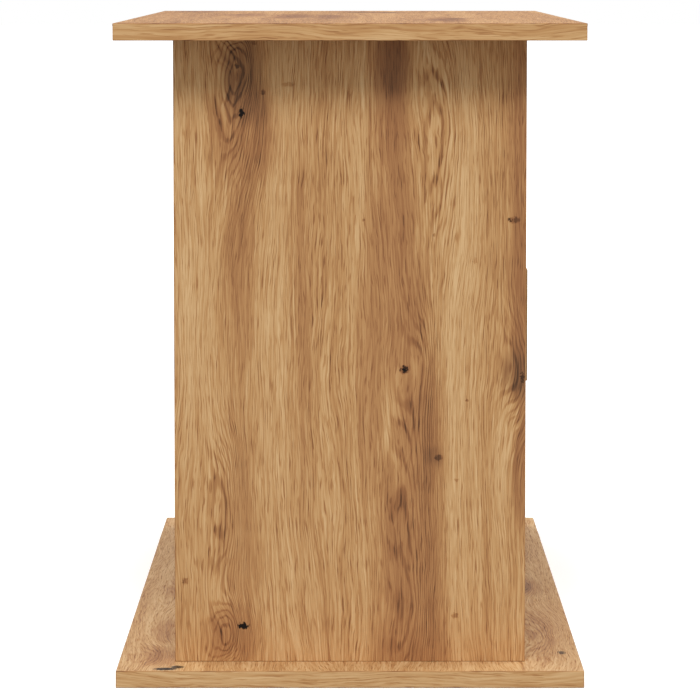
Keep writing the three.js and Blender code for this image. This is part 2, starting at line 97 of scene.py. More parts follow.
class Graph:
    """A material's node tree, built by short calls that each return a socket."""

    def __init__(self, name: str) -> None:
        """Starts a material with a surface shader and nothing else.

        Args:
            name: The material's name.
        """
        self.material = bpy.data.materials.new(name)
        self.material.use_nodes = True
        self.tree = self.material.node_tree
        self.shader = self.tree.nodes["Principled BSDF"]

    def node(self, kind: str, **settings: object) -> bpy.types.Node:
        """Adds a node and sets its properties.

        Args:
            kind: The node's type.
            **settings: Its properties, by name.

        Returns:
            The node.
        """
        made = self.tree.nodes.new(kind)
        for key, setting in settings.items():
            setattr(made, key, setting)
        return made

    def feed(self, socket: bpy.types.NodeSocket, value: object) -> None:
        """Links a socket to another, or sets its own value.

        Args:
            socket: The input to fill.
            value: The socket or value that fills it.
        """
        if isinstance(value, bpy.types.NodeSocket):
            self.tree.links.new(value, socket)
        else:
            socket.default_value = value

    def math(self, operation: str, first: Value, second: Value = 0.0) -> bpy.types.NodeSocket:
        """Adds a math node.

        Args:
            operation: The node's operation, such as ADD.
            first: The first number or socket.
            second: The second number or socket.

        Returns:
            The result's socket.
        """
        made = self.node("ShaderNodeMath", operation=operation)
        self.feed(made.inputs[0], first)
        self.feed(made.inputs[1], second)
        return made.outputs[0]

    def total(self, *terms: Value) -> bpy.types.NodeSocket:
        """Adds up two or more numbers or sockets.

        Args:
            *terms: The numbers or sockets.

        Returns:
            The sum's socket.
        """
        result = self.math("ADD", terms[0], terms[1])
        for term in terms[2:]:
            result = self.math("ADD", result, term)
        return result

    def swing(self, noise: bpy.types.NodeSocket, reach: float) -> bpy.types.NodeSocket:
        """Centres a noise on zero and scales it, so that it swings both ways.

        Args:
            noise: The noise, about one half on average.
            reach: How far it swings from end to end.

        Returns:
            The result's socket.
        """
        made = self.node("ShaderNodeMath", operation="MULTIPLY_ADD")
        self.feed(made.inputs[0], noise)
        self.feed(made.inputs[1], reach)
        self.feed(made.inputs[2], -reach / 2)
        return made.outputs[0]

    def combine(self, x: Value, y: Value, z: Value = 0.0) -> bpy.types.NodeSocket:
        """Joins three numbers into a vector.

        Args:
            x: The first part.
            y: The second part.
            z: The third part.

        Returns:
            The vector's socket.
        """
        made = self.node("ShaderNodeCombineXYZ")
        for socket, value in zip(made.inputs, (x, y, z)):
            self.feed(socket, value)
        return made.outputs[0]

    def vector(self, operation: str, first: object, second: object = (0, 0, 0)) -> bpy.types.NodeSocket:
        """Adds a vector math node that returns a vector.

        Args:
            operation: The node's operation, such as SUBTRACT.
            first: The first vector or socket.
            second: The second vector or socket.

        Returns:
            The result's socket.
        """
        made = self.node("ShaderNodeVectorMath", operation=operation)
        self.feed(made.inputs[0], first)
        self.feed(made.inputs[1], second)
        return made.outputs["Vector"]

    def length(self, vector: bpy.types.NodeSocket) -> bpy.types.NodeSocket:
        """Returns a vector's length.

        Args:
            vector: The vector's socket.

        Returns:
            The length's socket.
        """
        made = self.node("ShaderNodeVectorMath", operation="LENGTH")
        self.feed(made.inputs[0], vector)
        return made.outputs["Value"]

    def millimetres(self, centre: Sequence[float] = (0, 0, 0)) -> list[bpy.types.NodeSocket]:
        """Gives the piece's own coordinates in millimetres from a centre.

        Args:
            centre: The centre, in metres.

        Returns:
            The X, Y and Z sockets.
        """
        place = self.node("ShaderNodeTexCoord").outputs["Object"]
        offset = self.vector("SUBTRACT", place, tuple(centre))
        scaled = self.vector("MULTIPLY", offset, (1000, 1000, 1000))
        split = self.node("ShaderNodeSeparateXYZ")
        self.feed(split.inputs[0], scaled)
        return list(split.outputs)

    def noise(self, vector: object, scale: float = 1.0, detail: float = 2.0,
              roughness: float = 0.5) -> bpy.types.NodeSocket:
        """Adds a fractal noise.

        Args:
            vector: The place it reads.
            scale: How often it repeats in a unit.
            detail: How many finer layers it has.
            roughness: How strong the finer layers are.

        Returns:
            The noise's number, about one half on average.
        """
        made = self.node("ShaderNodeTexNoise")
        self.feed(made.inputs["Vector"], vector)
        self.feed(made.inputs["Scale"], scale)
        self.feed(made.inputs["Detail"], detail)
        self.feed(made.inputs["Roughness"], roughness)
        return made.outputs["Fac"]

    def step(self, value: Value, low: float, high: float, start: float = 0.0,
             end: float = 1.0) -> bpy.types.NodeSocket:
        """Eases from one number to another as a value goes from low to high.

        Args:
            value: The value read.
            low: Where the change starts.
            high: Where the change ends.
            start: The result at low and before it.
            end: The result at high and past it.

        Returns:
            The eased number.
        """
        made = self.node("ShaderNodeMapRange", interpolation_type="SMOOTHSTEP")
        for socket, number in zip(made.inputs[:5], (value, low, high, start, end)):
            self.feed(socket, number)
        return made.outputs[0]

    def ramp(self, value: bpy.types.NodeSocket, stops: Sequence[tuple[float, tuple]]) -> bpy.types.NodeSocket:
        """Turns a number into a colour.

        Args:
            value: The number.
            stops: Pairs of a place and a linear colour, in order.

        Returns:
            The colour.
        """
        made = self.node("ShaderNodeValToRGB")
        elements = made.color_ramp.elements
        while len(elements) < len(stops):
            elements.new(0.5)
        for element, (place, colour) in zip(elements, stops):
            element.position = place
            element.color = colour
        self.feed(made.inputs[0], value)
        return made.outputs[0]

    def blend(self, share: Value, first: object, second: object, mode: str = "MIX") -> bpy.types.NodeSocket:
        """Mixes two colours by a share.

        Args:
            share: The second colour's share.
            first: The first colour or socket.
            second: The second colour or socket.
            mode: How the two are mixed.

        Returns:
            The mixed colour's socket.
        """
        made = self.node("ShaderNodeMix", data_type="RGBA", blend_type=mode)
        self.feed(made.inputs[0], share)
        self.feed(made.inputs[6], first)
        self.feed(made.inputs[7], second)
        return made.outputs[2]

    def bump(self, height: bpy.types.NodeSocket, depth: float, strength: float = 1.0) -> None:
        """Gives the surface a relief.

        Args:
            height: The relief, from 0 to 1.
            depth: How deep one unit of it is, in metres.
            strength: How much of it shows.
        """
        made = self.node("ShaderNodeBump")
        made.inputs["Strength"].default_value = strength
        made.inputs["Distance"].default_value = depth
        self.feed(made.inputs["Height"], height)
        self.feed(self.shader.inputs["Normal"], made.outputs[0])

    def finish(self, colour: object, roughness: Value, metallic: float = 0.0) -> bpy.types.Material:
        """Connects the surface.

        Args:
            colour: The base colour or its socket.
            roughness: The roughness or its socket.
            metallic: How metallic the surface is.

        Returns:
            The finished material.
        """
        self.feed(self.shader.inputs["Base Color"], colour)
        self.feed(self.shader.inputs["Roughness"], roughness)
        self.shader.inputs["Metallic"].default_value = metallic
        return self.material


# ---- Oak decor ----


@dataclass(frozen=True)
class Figure:
    """A place where the growth rings bulge into nested arches. Millimetres from the board's middle."""

    along: float
    across: float
    half_length: float
    half_width: float
    rise: float


class Tone(Enum):
    """How a stain changes the wood: how soft and ragged its edge is, and what it does inside."""

    HEART = (0.62, 1.0)
    GREY = (0.6, 0.6)
    DARK = (0.45, 0.08)
    BLACK = (0.3, 0.12)
    PALE = (0.9, 1.0)

    def __init__(self, softness: float, raggedness: float) -> None:
        """Keeps the tone's softness and raggedness."""
        self.softness = softness
        self.raggedness = raggedness


@dataclass(frozen=True)
class Stain:
    """A patch of darker wood, from a heartwood band to a pin knot. Millimetres from the middle."""

    tone: Tone
    along: float
    across: float
    half_length: float
    half_width: float
    strength: float = 1.0


OAK_COLOURS = (
    (0.0, linear(38, 25, 17)),
    (0.2, linear(92, 60, 39)),
    (0.43, linear(153, 105, 66)),
    (0.69, linear(187, 140, 91)),
    (0.8, linear(199, 156, 106)),
    (1.0, linear(216, 179, 131)),
)
HEARTWOOD = linear(168, 115, 80)
HEART_CALM = 0.28
GREY_KNOT = linear(116, 88, 64)
CRACK = linear(24, 18, 15)


@dataclass(frozen=True)
class OakDecor:
    """A printed oak decor, laid along a grain axis over one pair of faces."""

    along: Axis
    across: Axis
    centre: tuple[float, float, float] = (0.0, 0.0, 0.0)
    seed: float = 0.0
    figures: tuple[Figure, ...] = ()
    stains: tuple[Stain, ...] = ()
    level: float = 0.79
    contrast: float = 1.0

    def material(self, name: str) -> bpy.types.Material:
        """Builds the decor.

        Args:
            name: The material's name.

        Returns:
            The material.
        """
        graph = Graph(name)
        place = graph.millimetres(self.centre)
        along = place[self.along.value]
        across = place[self.across.value]
        through = place[other_axis(self.along, self.across).value]
        layer = graph.math("ADD", graph.math("MULTIPLY", through, 0.013), self.seed)

        def grain(width: float, reach: float, line: bpy.types.NodeSocket, detail: float = 2.0,
                  roughness: float = 0.5) -> bpy.types.NodeSocket:
            """Adds a noise that is drawn out along the grain.

            Args:
                width: The size across the grain, in millimetres.
                reach: The size along the grain, in millimetres.
                line: The place across the grain.
                detail: How many finer layers it has.
                roughness: How strong the finer layers are.

            Returns:
                The noise's number.
            """
            short = graph.math("DIVIDE", line, width)
            long = graph.math("DIVIDE", along, reach)
            return graph.noise(graph.combine(long, short, layer), 1.0, detail, roughness)

        drift = graph.swing(grain(120.0, 460.0, across, 1.0), 46.0)
        sway = graph.swing(grain(34.0, 120.0, across, 1.0), 13.0)
        shiver = graph.swing(grain(9.0, 26.0, across, 2.0), 2.6)
        ring = graph.total(across, drift, sway, shiver)
        bent_along = graph.math("ADD", along, graph.swing(grain(16.0, 40.0, across, 1.0), 22.0))
        bent_across = graph.total(across, graph.math("MULTIPLY", sway, 0.6), shiver)
        bent = graph.combine(bent_along, bent_across)
        strand = ring
        arched = 0.0
        for figure in self.figures:
            push = self.bulge(graph, bent, figure)
            ring = graph.math("ADD", ring, graph.math("MULTIPLY", push, figure.rise))
            strand = graph.math("ADD", strand, graph.math("MULTIPLY", push, figure.rise * 0.42))
            arched = graph.math("ADD", push, arched)
        broad = grain(44.0, 1400.0, ring, 2.0, 0.55)
        medium = grain(8.5, 420.0, ring, 3.0, 0.6)
        late = graph.step(grain(5.5, 800.0, ring, 1.0), 0.56, 0.66)
        fine = grain(2.3, 90.0, strand, 2.0, 0.65)
        hair = grain(1.0, 42.0, strand, 1.5)
        pore = graph.step(grain(0.85, 18.0, strand, 1.0), 0.55, 0.68)
        turn = graph.math("MULTIPLY", graph.math("ADD", ring, graph.swing(fine, 2.5)), math.tau / 3.3)
        wave = graph.math("SINE", turn)
        lines = graph.math("MULTIPLY", graph.step(wave, 0.0, 1.0), graph.math("MINIMUM", arched, 1.0))
        specks = [
            graph.swing(graph.noise(graph.combine(along, across, shift), 0.42, 3.0, 0.6), 1.0)
            for shift in (3.0, 7.0)
        ]
        ragged = graph.total(bent_across, graph.swing(medium, 16.0), graph.swing(fine, 7.0))
        places = {
            Tone.HEART: graph.combine(bent_along, ragged),
            Tone.GREY: graph.combine(bent_along, graph.math("ADD", bent_across, graph.swing(fine, 6.0))),
            Tone.DARK: self.roughen(graph, along, across, specks, 5.0),
            Tone.BLACK: self.roughen(graph, along, across, specks, 10.0),
            Tone.PALE: graph.combine(bent_along, ragged),
        }
        masks = {tone: self.patches(graph, places[tone], tone) for tone in Tone}
        markings = graph.total(
            graph.swing(broad, 0.42),
            graph.swing(medium, 0.36),
            graph.swing(fine, 0.42),
            graph.swing(hair, 0.8),
            graph.math("MULTIPLY", late, -0.06),
            graph.math("MULTIPLY", pore, -0.26),
            graph.math("MULTIPLY", lines, -0.27),
        )
        markings = graph.math("MULTIPLY", markings, self.contrast)
        if masks[Tone.HEART] is not None:
            calm = graph.math("SUBTRACT", 1.0, graph.math("MULTIPLY", masks[Tone.HEART], HEART_CALM))
            markings = graph.math("MULTIPLY", markings, calm)
        tone = graph.math("ADD", markings, self.level)
        for kind, drop in ((Tone.HEART, -0.3), (Tone.GREY, -0.24), (Tone.DARK, -0.42), (Tone.PALE, 0.14)):
            if masks[kind] is not None:
                tone = graph.math("ADD", tone, graph.math("MULTIPLY", masks[kind], drop))
        colour = graph.ramp(tone, OAK_COLOURS)
        if masks[Tone.HEART] is not None:
            share = graph.math("MULTIPLY", masks[Tone.HEART], 0.22)
            colour = graph.blend(share, colour, HEARTWOOD)
        if masks[Tone.GREY] is not None:
            share = graph.math("MULTIPLY", masks[Tone.GREY], 0.35)
            colour = graph.blend(share, colour, GREY_KNOT)
        if masks[Tone.BLACK] is not None:
            colour = graph.blend(masks[Tone.BLACK], colour, CRACK)
        relief = graph.math("SUBTRACT", graph.math("MULTIPLY", fine, 0.5), pore)
        graph.bump(relief, 0.00008, 0.6)
        roughness = graph.total(graph.swing(fine, 0.1), 0.47, graph.math("MULTIPLY", pore, 0.12))
        graph.shader.inputs["Specular IOR Level"].default_value = 0.12
        return graph.finish(colour, roughness)

    @staticmethod
    def bulge(graph: Graph, place: bpy.types.NodeSocket, figure: Figure) -> bpy.types.NodeSocket:
        """Adds how strongly a figure pushes the growth rings aside.

        Args:
            graph: The material's tree.
            place: The place in the decor, along and across.
            figure: The figure.

        Returns:
            The push, as a share of the figure's rise.
        """
        offset = graph.vector("SUBTRACT", place, (figure.along, figure.across, 0))
        shares = (1 / figure.half_length, 1 / figure.half_width, 0)
        near = graph.vector("MULTIPLY", offset, shares)
        square = graph.node("ShaderNodeVectorMath", operation="DOT_PRODUCT")
        graph.feed(square.inputs[0], near)
        graph.feed(square.inputs[1], near)
        return graph.math("EXPONENT", graph.math("MULTIPLY", square.outputs["Value"], -1.0))

    @staticmethod
    def roughen(graph: Graph, along: Value, across: Value, specks: Sequence[Value],
                reach: float) -> bpy.types.NodeSocket:
        """Scatters a place by two noises, so that small stains get ragged outlines.

        Args:
            graph: The material's tree.
            along: The place along the grain.
            across: The place across it.
            specks: The two noises, centred on zero.
            reach: How far they scatter the place, in millimetres.

        Returns:
            The scattered place.
        """
        moved = [
            graph.math("ADD", part, graph.math("MULTIPLY", speck, reach))
            for part, speck in zip((along, across), specks)
        ]
        return graph.combine(*moved)

    def patches(self, graph: Graph, place: bpy.types.NodeSocket, tone: Tone) -> bpy.types.NodeSocket | None:
        """Joins the masks of every stain of one tone.

        Args:
            graph: The material's tree.
            place: The place in the decor, along and across.
            tone: The tone.

        Returns:
            The mask, or None where the decor has no such stain.
        """
        joined = None
        for stain in self.stains:
            if stain.tone is not tone:
                continue
            offset = graph.vector("SUBTRACT", place, (stain.along, stain.across, 0))
            near = graph.vector("MULTIPLY", offset, (1 / stain.half_length, 1 / stain.half_width, 0))
            outer = 1 + tone.softness / 2
            inner = 1 - tone.softness
            mask = graph.step(graph.length(near), outer, inner, 0.0, stain.strength)
            joined = mask if joined is None else graph.math("MAXIMUM", joined, mask)
        return joined


# The base's own figures beside its uprights: arches and knots on both open strips.
BASE_FIGURES = (
    Figure(-300, -178, 160, 22, 28),
    Figure(-10, -176, 80, 16, 22),
    Figure(-60, 168, 120, 18, 24),
    Figure(-420, 172, 70, 16, 18),
    Figure(300, -120, 160, 28, 32),
    Figure(260, 60, 140, 26, 30),
    Figure(-200, -40, 170, 30, 34),
)
BASE_STAINS = (
    Stain(Tone.HEART, -20, 164, 90, 20, 0.75),
    Stain(Tone.HEART, -290, 170, 80, 14, 0.7),
    Stain(Tone.HEART, -430, 170, 60, 18, 0.75),
    Stain(Tone.HEART, -12, -170, 70, 18, 0.9),
    Stain(Tone.HEART, -300, -176, 200, 26, 0.5),
    Stain(Tone.HEART, 280, -130, 160, 22, 0.6),
    Stain(Tone.HEART, 240, 70, 180, 24, 0.7),
    Stain(Tone.HEART, -190, -30, 200, 22, 0.7),
    Stain(Tone.GREY, -14, -168, 34, 11, 0.9),
    Stain(Tone.DARK, -20, -166, 8, 5, 0.9),
    Stain(Tone.DARK, -300, 160, 5, 3, 0.7),
    Stain(Tone.DARK, 230, 64, 6, 5, 0.9),
    Stain(Tone.BLACK, -494, 162, 7, 11, 0.95),
    Stain(Tone.BLACK, -484, 152, 8, 6, 0.9),
    Stain(Tone.BLACK, -408, -190, 9, 3.5, 0.8),
)

# The end panel's own figures: two knots with arches, nested arches, and the heartwood's cathedral.
END_PANEL_FIGURES = (
    Figure(256, 95, 44, 19, 32),
    Figure(196, 94, 74, 26, 26),
    Figure(-140, 107, 92, 20, 30),
    Figure(-254, 104, 32, 20, 32),
    Figure(-228, -55, 120, 24, 34),
    Figure(-20, -152, 56, 26, 26),
    Figure(190, -84, 120, 22, 28),
    Figure(-6, -66, 52, 17, 16),
    Figure(-92, -58, 60, 20, 12),
)
END_PANEL_STAINS = (
    Stain(Tone.HEART, 230, -36, 110, 18),
    Stain(Tone.HEART, 110, -38, 110, 21, 0.8),
    Stain(Tone.HEART, 30, -44, 80, 27, 0.75),
    Stain(Tone.HEART, -75, -60, 90, 26, 0.75),
    Stain(Tone.HEART, -185, -52, 120, 30, 0.8),
    Stain(Tone.HEART, -260, -54, 80, 36, 0.8),
    Stain(Tone.HEART, 0, -18, 150, 13, 0.6),
    Stain(Tone.PALE, 20, -100, 300, 17, 1),
    Stain(Tone.PALE, 60, 142, 140, 15, 0.9),
    Stain(Tone.PALE, -150, 25, 190, 16, 0.5),
    Stain(Tone.PALE, -60, -134, 110, 10, 0.7),
    Stain(Tone.HEART, 95, 97, 120, 16, 0.5),
    Stain(Tone.HEART, -160, 101, 130, 20, 0.35),
    Stain(Tone.HEART, 20, 43, 170, 9, 0.4),
    Stain(Tone.HEART, 190, 92, 50, 30, 0.75),
    Stain(Tone.HEART, 60, -151, 110, 13),
    Stain(Tone.HEART, 185, -149, 120, 10, 0.8),
    Stain(Tone.HEART, -90, -153, 70, 9, 0.9),
    Stain(Tone.HEART, -250, 104, 34, 24, 0.7),
    Stain(Tone.GREY, 250, 96, 40, 17),
    Stain(Tone.GREY, 222, 90, 26, 18, 0.6),
    Stain(Tone.GREY, 252, -38, 34, 17, 0.6),
    Stain(Tone.GREY, -18, -148, 24, 17, 0.7),
    Stain(Tone.GREY, -93, -74, 10, 9, 0.5),
    Stain(Tone.DARK, 252, 99, 2.2, 2.4, 0.9),
    Stain(Tone.DARK, -15, -48, 4.2, 4),
    Stain(Tone.DARK, -203, 146, 3.2, 2.8, 0.8),
    Stain(Tone.DARK, -93, -78, 3, 3.4, 0.8),
    Stain(Tone.DARK, -113, -94, 2, 2.2, 0.5),
    Stain(Tone.DARK, -234, -93, 2.6, 3, 0.7),
    Stain(Tone.DARK, -42, -103, 1.4, 1.8, 0.7),
    Stain(Tone.DARK, 117, -12, 1.8, 1.8, 0.6),
    Stain(Tone.DARK, 104, -74, 1.8, 1.2, 0.6),
    Stain(Tone.DARK, 81, -110, 3.2, 1.8, 0.5),
    Stain(Tone.DARK, 117, -144, 3, 6, 0.7),
    Stain(Tone.DARK, 229, 76, 2.4, 2, 0.7),
    Stain(Tone.DARK, 272, 84, 2, 2, 0.6),
    Stain(Tone.DARK, 236, 54, 2, 6, 0.45),
    Stain(Tone.BLACK, 211, 95, 4.4, 2.6),
    Stain(Tone.BLACK, -15, -48, 2.8, 2.8),
    Stain(Tone.BLACK, -243, 94.5, 2.6, 5.4),
    Stain(Tone.BLACK, -22, -152, 6, 2, 0.75),
    Stain(Tone.BLACK, 117, -141, 1.6, 1.8, 0.8),
)


def natural_features(seed: int, half_length: float, half_width: float) -> dict[str, tuple]:
    """Chooses figures and stains for a board that nothing special is known of.

    Args:
        seed: The board's own number.
        half_length: Half the board's length along the grain, in millimetres.
        half_width: Half its width across the grain, in millimetres.

    Returns:
        The figures and the stains, by field name.
    """
    draw = random.Random(seed)

    def spot(margin: float) -> tuple[float, float]:
        """Picks a place on the board, as a share of its half sizes."""
        return draw.uniform(-margin, margin) * half_length, draw.uniform(-margin, margin) * half_width

    figures = []
    stains = []
    for _ in range(2 + round(half_length / 200)):
        along, across = spot(0.85)
        shape = draw.uniform(60, 130), draw.uniform(18, 30), draw.uniform(26, 44)
        figures.append(Figure(along, across, *shape))
        spread = draw.uniform(110, 220), draw.uniform(12, 24), draw.uniform(0.4, 1)
        stains.append(Stain(Tone.HEART, along, across, *spread))
    for _ in range(1 + round(half_length / 300)):
        along, across = spot(0.9)
        size = draw.uniform(9, 18)
        figures.append(Figure(along, across, size * 2.2, size * 1.3, draw.uniform(24, 38)))
        stains.append(Stain(Tone.HEART, along, across, size * 2.6, size * 1.5, 0.8))
        stains.append(Stain(Tone.GREY, along, across, size * 1.2, size * 0.8, 0.9))
        stains.append(Stain(Tone.BLACK, along + size * 0.2, across, draw.uniform(2, 5), draw.uniform(1.6, 4)))
    for _ in range(3 + round(half_length / 120)):
        along, across = spot(0.95)
        size = draw.uniform(1.2, 2.8)
        width, strength = size * draw.uniform(0.8, 1.4), draw.uniform(0.4, 0.9)
        stains.append(Stain(Tone.DARK, along, across, size, width, strength))
    return {"figures": tuple(figures), "stains": tuple(stains)}


# ---- Plain finishes ----


@dataclass(frozen=True)
class Chipboard:
    """The raw core of a faced board, seen inside its holes and grooves."""

    chip: float = 1.6

    def material(self) -> bpy.types.Material:
        """Builds the core: flat chips of many browns, pressed together.

        Returns:
            The material.
        """
        graph = Graph("chipboard")
        x, y, z = graph.millimetres()
        cells = graph.node("ShaderNodeTexVoronoi")
        graph.feed(cells.inputs["Vector"], graph.combine(x, y, graph.math("MULTIPLY", z, 2.0)))
        graph.feed(cells.inputs["Scale"], 1 / self.chip)
        dust = graph.noise(graph.combine(x, y, z), 1.4, 3.0)
        colour = graph.ramp(cells.outputs["Color"], (
            (0.0, linear(122, 92, 62)), (0.5, linear(168, 134, 96)), (1.0, linear(196, 166, 126))))
        colour = graph.blend(graph.math("MULTIPLY", dust, 0.5), colour, linear(118, 88, 60))
        graph.bump(graph.total(cells.outputs["Distance"], dust), 0.0002, 0.7)
        return graph.finish(colour, graph.total(0.75, graph.swing(dust, 0.2)))


@dataclass(frozen=True)
class Hardboard:
    """The raw brown rear face of thin hardboard, with the print of the press's wire screen."""

    pitch: float = 1.3

    def material(self) -> bpy.types.Material:
        """Builds the face: matted fibres and a fine pressed grid.

        Returns:
            The material.
        """
        graph = Graph("raw_hardboard")
        x, y, z = graph.millimetres()
        grid = [graph.math("SINE", graph.math("MULTIPLY", part, math.tau / self.pitch)) for part in (x, z)]
        screen = graph.math("MULTIPLY", grid[0], grid[1])
        fibre = graph.noise(graph.combine(x, y, z), 0.35, 4.0, 0.7)
        cloud = graph.noise(graph.combine(x, y, z), 0.012, 2.0)
        mark = graph.math("MULTIPLY", screen, 0.05)
        shade = graph.total(graph.swing(fibre, 0.5), graph.swing(cloud, 0.5), 0.5, mark)
        colour = graph.ramp(shade, (
            (0.0, linear(104, 74, 48)), (0.5, linear(134, 99, 67)), (1.0, linear(162, 125, 88))))
        graph.bump(graph.total(fibre, graph.math("MULTIPLY", screen, 0.5)), 0.00015, 0.6)
        return graph.finish(colour, graph.total(0.7, graph.swing(fibre, 0.2)))


@dataclass(frozen=True)
class Coating:
    """A coated or moulded surface: one colour with a little mottle, dust and orange peel."""

    name: str
    colour: tuple[float, float, float, float]
    shade: tuple[float, float, float, float]
    roughness: float
    grain: float = 0.6
    depth: float = 0.00004

    def material(self) -> bpy.types.Material:
        """Builds the coating.

        Returns:
            The material.
        """
        graph = Graph(self.name)
        x, y, z = graph.millimetres()
        place = graph.combine(x, y, z)
        mottle = graph.noise(place, 0.06, 3.0, 0.6)
        peel = graph.noise(place, self.grain, 2.0)
        colour = graph.blend(graph.step(mottle, 0.35, 0.7), self.colour, self.shade)
        graph.bump(peel, self.depth, 0.5)
        return graph.finish(colour, graph.total(self.roughness, graph.swing(mottle, 0.18)))


@dataclass(frozen=True)
class Metal:
    """Bare, cast or plated metal, with fine scratches and a cloudy tone."""

    name: str
    colour: tuple[float, float, float, float]
    shade: tuple[float, float, float, float]
    roughness: float
    scratch: float = 0.9
    depth: float = 0.00002

    def material(self) -> bpy.types.Material:
        """Builds the metal.

        Returns:
            The material.
        """
        graph = Graph(self.name)
        x, y, z = graph.millimetres()
        cloud = graph.noise(graph.combine(x, y, z), 0.3, 3.0, 0.6)
        fine = graph.noise(graph.combine(x, graph.math("MULTIPLY", y, 5.0), z), self.scratch, 3.0, 0.7)
        colour = graph.blend(graph.step(cloud, 0.35, 0.7), self.colour, self.shade)
        graph.bump(fine, self.depth, 0.5)
        return graph.finish(colour, graph.total(self.roughness, graph.swing(fine, 0.2)), 1.0)


@dataclass
class Finishes:
    """Every finish that more than one sub-assembly uses."""

    core: bpy.types.Material = field(default_factory=lambda: Chipboard().material())
    raw_back: bpy.types.Material = field(default_factory=lambda: Hardboard().material())
    steel: bpy.types.Material = field(default_factory=lambda: Coating(
        "white_coated_steel", linear(228, 227, 222), linear(216, 214, 207), 0.38).material())
    nylon: bpy.types.Material = field(default_factory=lambda: Coating(
        "natural_nylon", linear(238, 235, 224), linear(224, 220, 206), 0.42, 0.9).material())
    zinc: bpy.types.Material = field(default_factory=lambda: Metal(
        "die_cast_zinc", linear(168, 170, 172), linear(140, 142, 146), 0.48).material())
    plated: bpy.types.Material = field(default_factory=lambda: Metal(
        "zinc_plated_steel", linear(198, 198, 192), linear(170, 171, 170), 0.3).material())
    nickel: bpy.types.Material = field(default_factory=lambda: Metal(
        "nickel_plated_steel", linear(206, 200, 190), linear(184, 178, 168), 0.22).material())
    cap: bpy.types.Material = field(default_factory=lambda: Coating(
        "brown_cap_plastic", linear(160, 118, 78), linear(146, 106, 70), 0.5, 0.9, 0.00006).material())

    def band(self, run: Axis, across: Axis, arris: bool = False) -> bpy.types.Material:
        """Gives the edge band that runs along an axis, and builds it once.

        Args:
            run: The axis that the band's grain follows.
            across: The axis of the board's thickness.
            arris: Whether it is the rounded edge where the band meets the face, printed darker as painted
                shade.

        Returns:
            The band's material.
        """
        name = f"oak_{'arris' if arris else 'band'}_{run.name}_{across.name}".lower()
        known = bpy.data.materials.get(name)
        if known:
            return known
        seed = 3.7 + run.value * 5.3 + across.value
        # The rounded edges are printed darker than the bands (level 0.58 against 0.86), which is painted
        # shade along each board's arris.
        return OakDecor(run, across, seed=seed, level=0.58 if arris else 0.86, contrast=0.75).material(name)


# ---- Mesh helpers ----


def show(name: str, mesh: bpy.types.Mesh, body: str,
         nodes: Sequence[str] = ()) -> bpy.types.Object:
    """Makes a mesh a piece of the model.

    Args:
        name: The piece's name.
        mesh: Its mesh, already in place.
        body: The body that it rides on.
        nodes: The frame's nodes that it stands for.

    Returns:
        The piece.
    """
    piece = bpy.data.objects.new(name, mesh)
    bpy.context.scene.collection.objects.link(piece)
    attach(piece, body)
    if nodes:
        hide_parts(*nodes)
    LOG.info("%s: %d faces on %s", name, len(mesh.polygons), body)
    return piece


def to_mesh(bm: bmesh.types.BMesh, name: str, materials: Iterable[bpy.types.Material]) -> bpy.types.Mesh:
    """Turns a bmesh into a mesh with its materials.

    Args:
        bm: The bmesh, which is freed.
        name: The mesh's name.
        materials: The materials of its slots.

    Returns:
        The mesh.
    """
    mesh = bpy.data.meshes.new(name)
    bm.to_mesh(mesh)
    bm.free()
    for material in materials:
        mesh.materials.append(material)
    return mesh


def node_bmesh(node: str) -> bmesh.types.BMesh:
    """Copies a node of the frame, with its loose triangles merged into whole flat faces.

    Args:
        node: The node's name.

    Returns:
        The copy.
    """
    bm = bmesh.new()
    bm.from_mesh(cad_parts[node].data)
    bmesh.ops.remove_doubles(bm, verts=bm.verts, dist=0.00001)
    bmesh.ops.dissolve_limit(bm, angle_limit=math.radians(1), verts=bm.verts, edges=bm.edges)
    return bm


def turned(profile: Sequence[tuple[float, float]], towards: Vector, start: Vector, steps: int = 48,
           round_over: float = 0.0) -> bmesh.types.BMesh:
    """Spins a profile right round an axis.

    Args:
        profile: Pairs of a radius and a height along the axis, in millimetres.
        towards: The axis's direction.
        start: The point of height zero.
        steps: How many flats the turn has.
        round_over: How much the sharp edges are rounded, in millimetres.

    Returns:
        The closed turned solid.
    """
    bm = bmesh.new()
    points = [bm.verts.new((radius * MM, 0.0, height * MM)) for radius, height in profile]
    for first, second in zip(points, points[1:]):
        bm.edges.new((first, second))
    bmesh.ops.spin(bm, geom=bm.verts[:] + bm.edges[:], cent=(0, 0, 0), axis=(0, 0, 1), dvec=(0, 0, 0),
                   angle=math.tau, steps=steps, use_merge=True)
    bmesh.ops.remove_doubles(bm, verts=bm.verts, dist=0.000001)
    bmesh.ops.recalc_face_normals(bm, faces=bm.faces)
    if round_over:
        soften(bm, round_over, 2)
    turn = Vector((0, 0, 1)).rotation_difference(towards).to_matrix().to_4x4()
    bmesh.ops.transform(bm, matrix=Matrix.Translation(start) @ turn, verts=bm.verts)
    for polygon in bm.faces:
        polygon.smooth = steps > HEX_SIDES
    return bm


def soften(bm: bmesh.types.BMesh, amount: float, segments: int) -> None:
    """Rounds every sharp edge by an amount in millimetres.

    Args:
        bm: The mesh.
        amount: How much is rounded, in millimetres.
        segments: How many flats the rounding has.
    """
    sharp = [edge for edge in bm.edges if edge.is_manifold and edge.calc_face_angle(0.0) > math.radians(35)]
    bmesh.ops.bevel(bm, geom=sharp, offset=amount * MM, offset_type="OFFSET", segments=segments,
                    profile=0.5, affect="EDGES", material=-1, clamp_overlap=True)


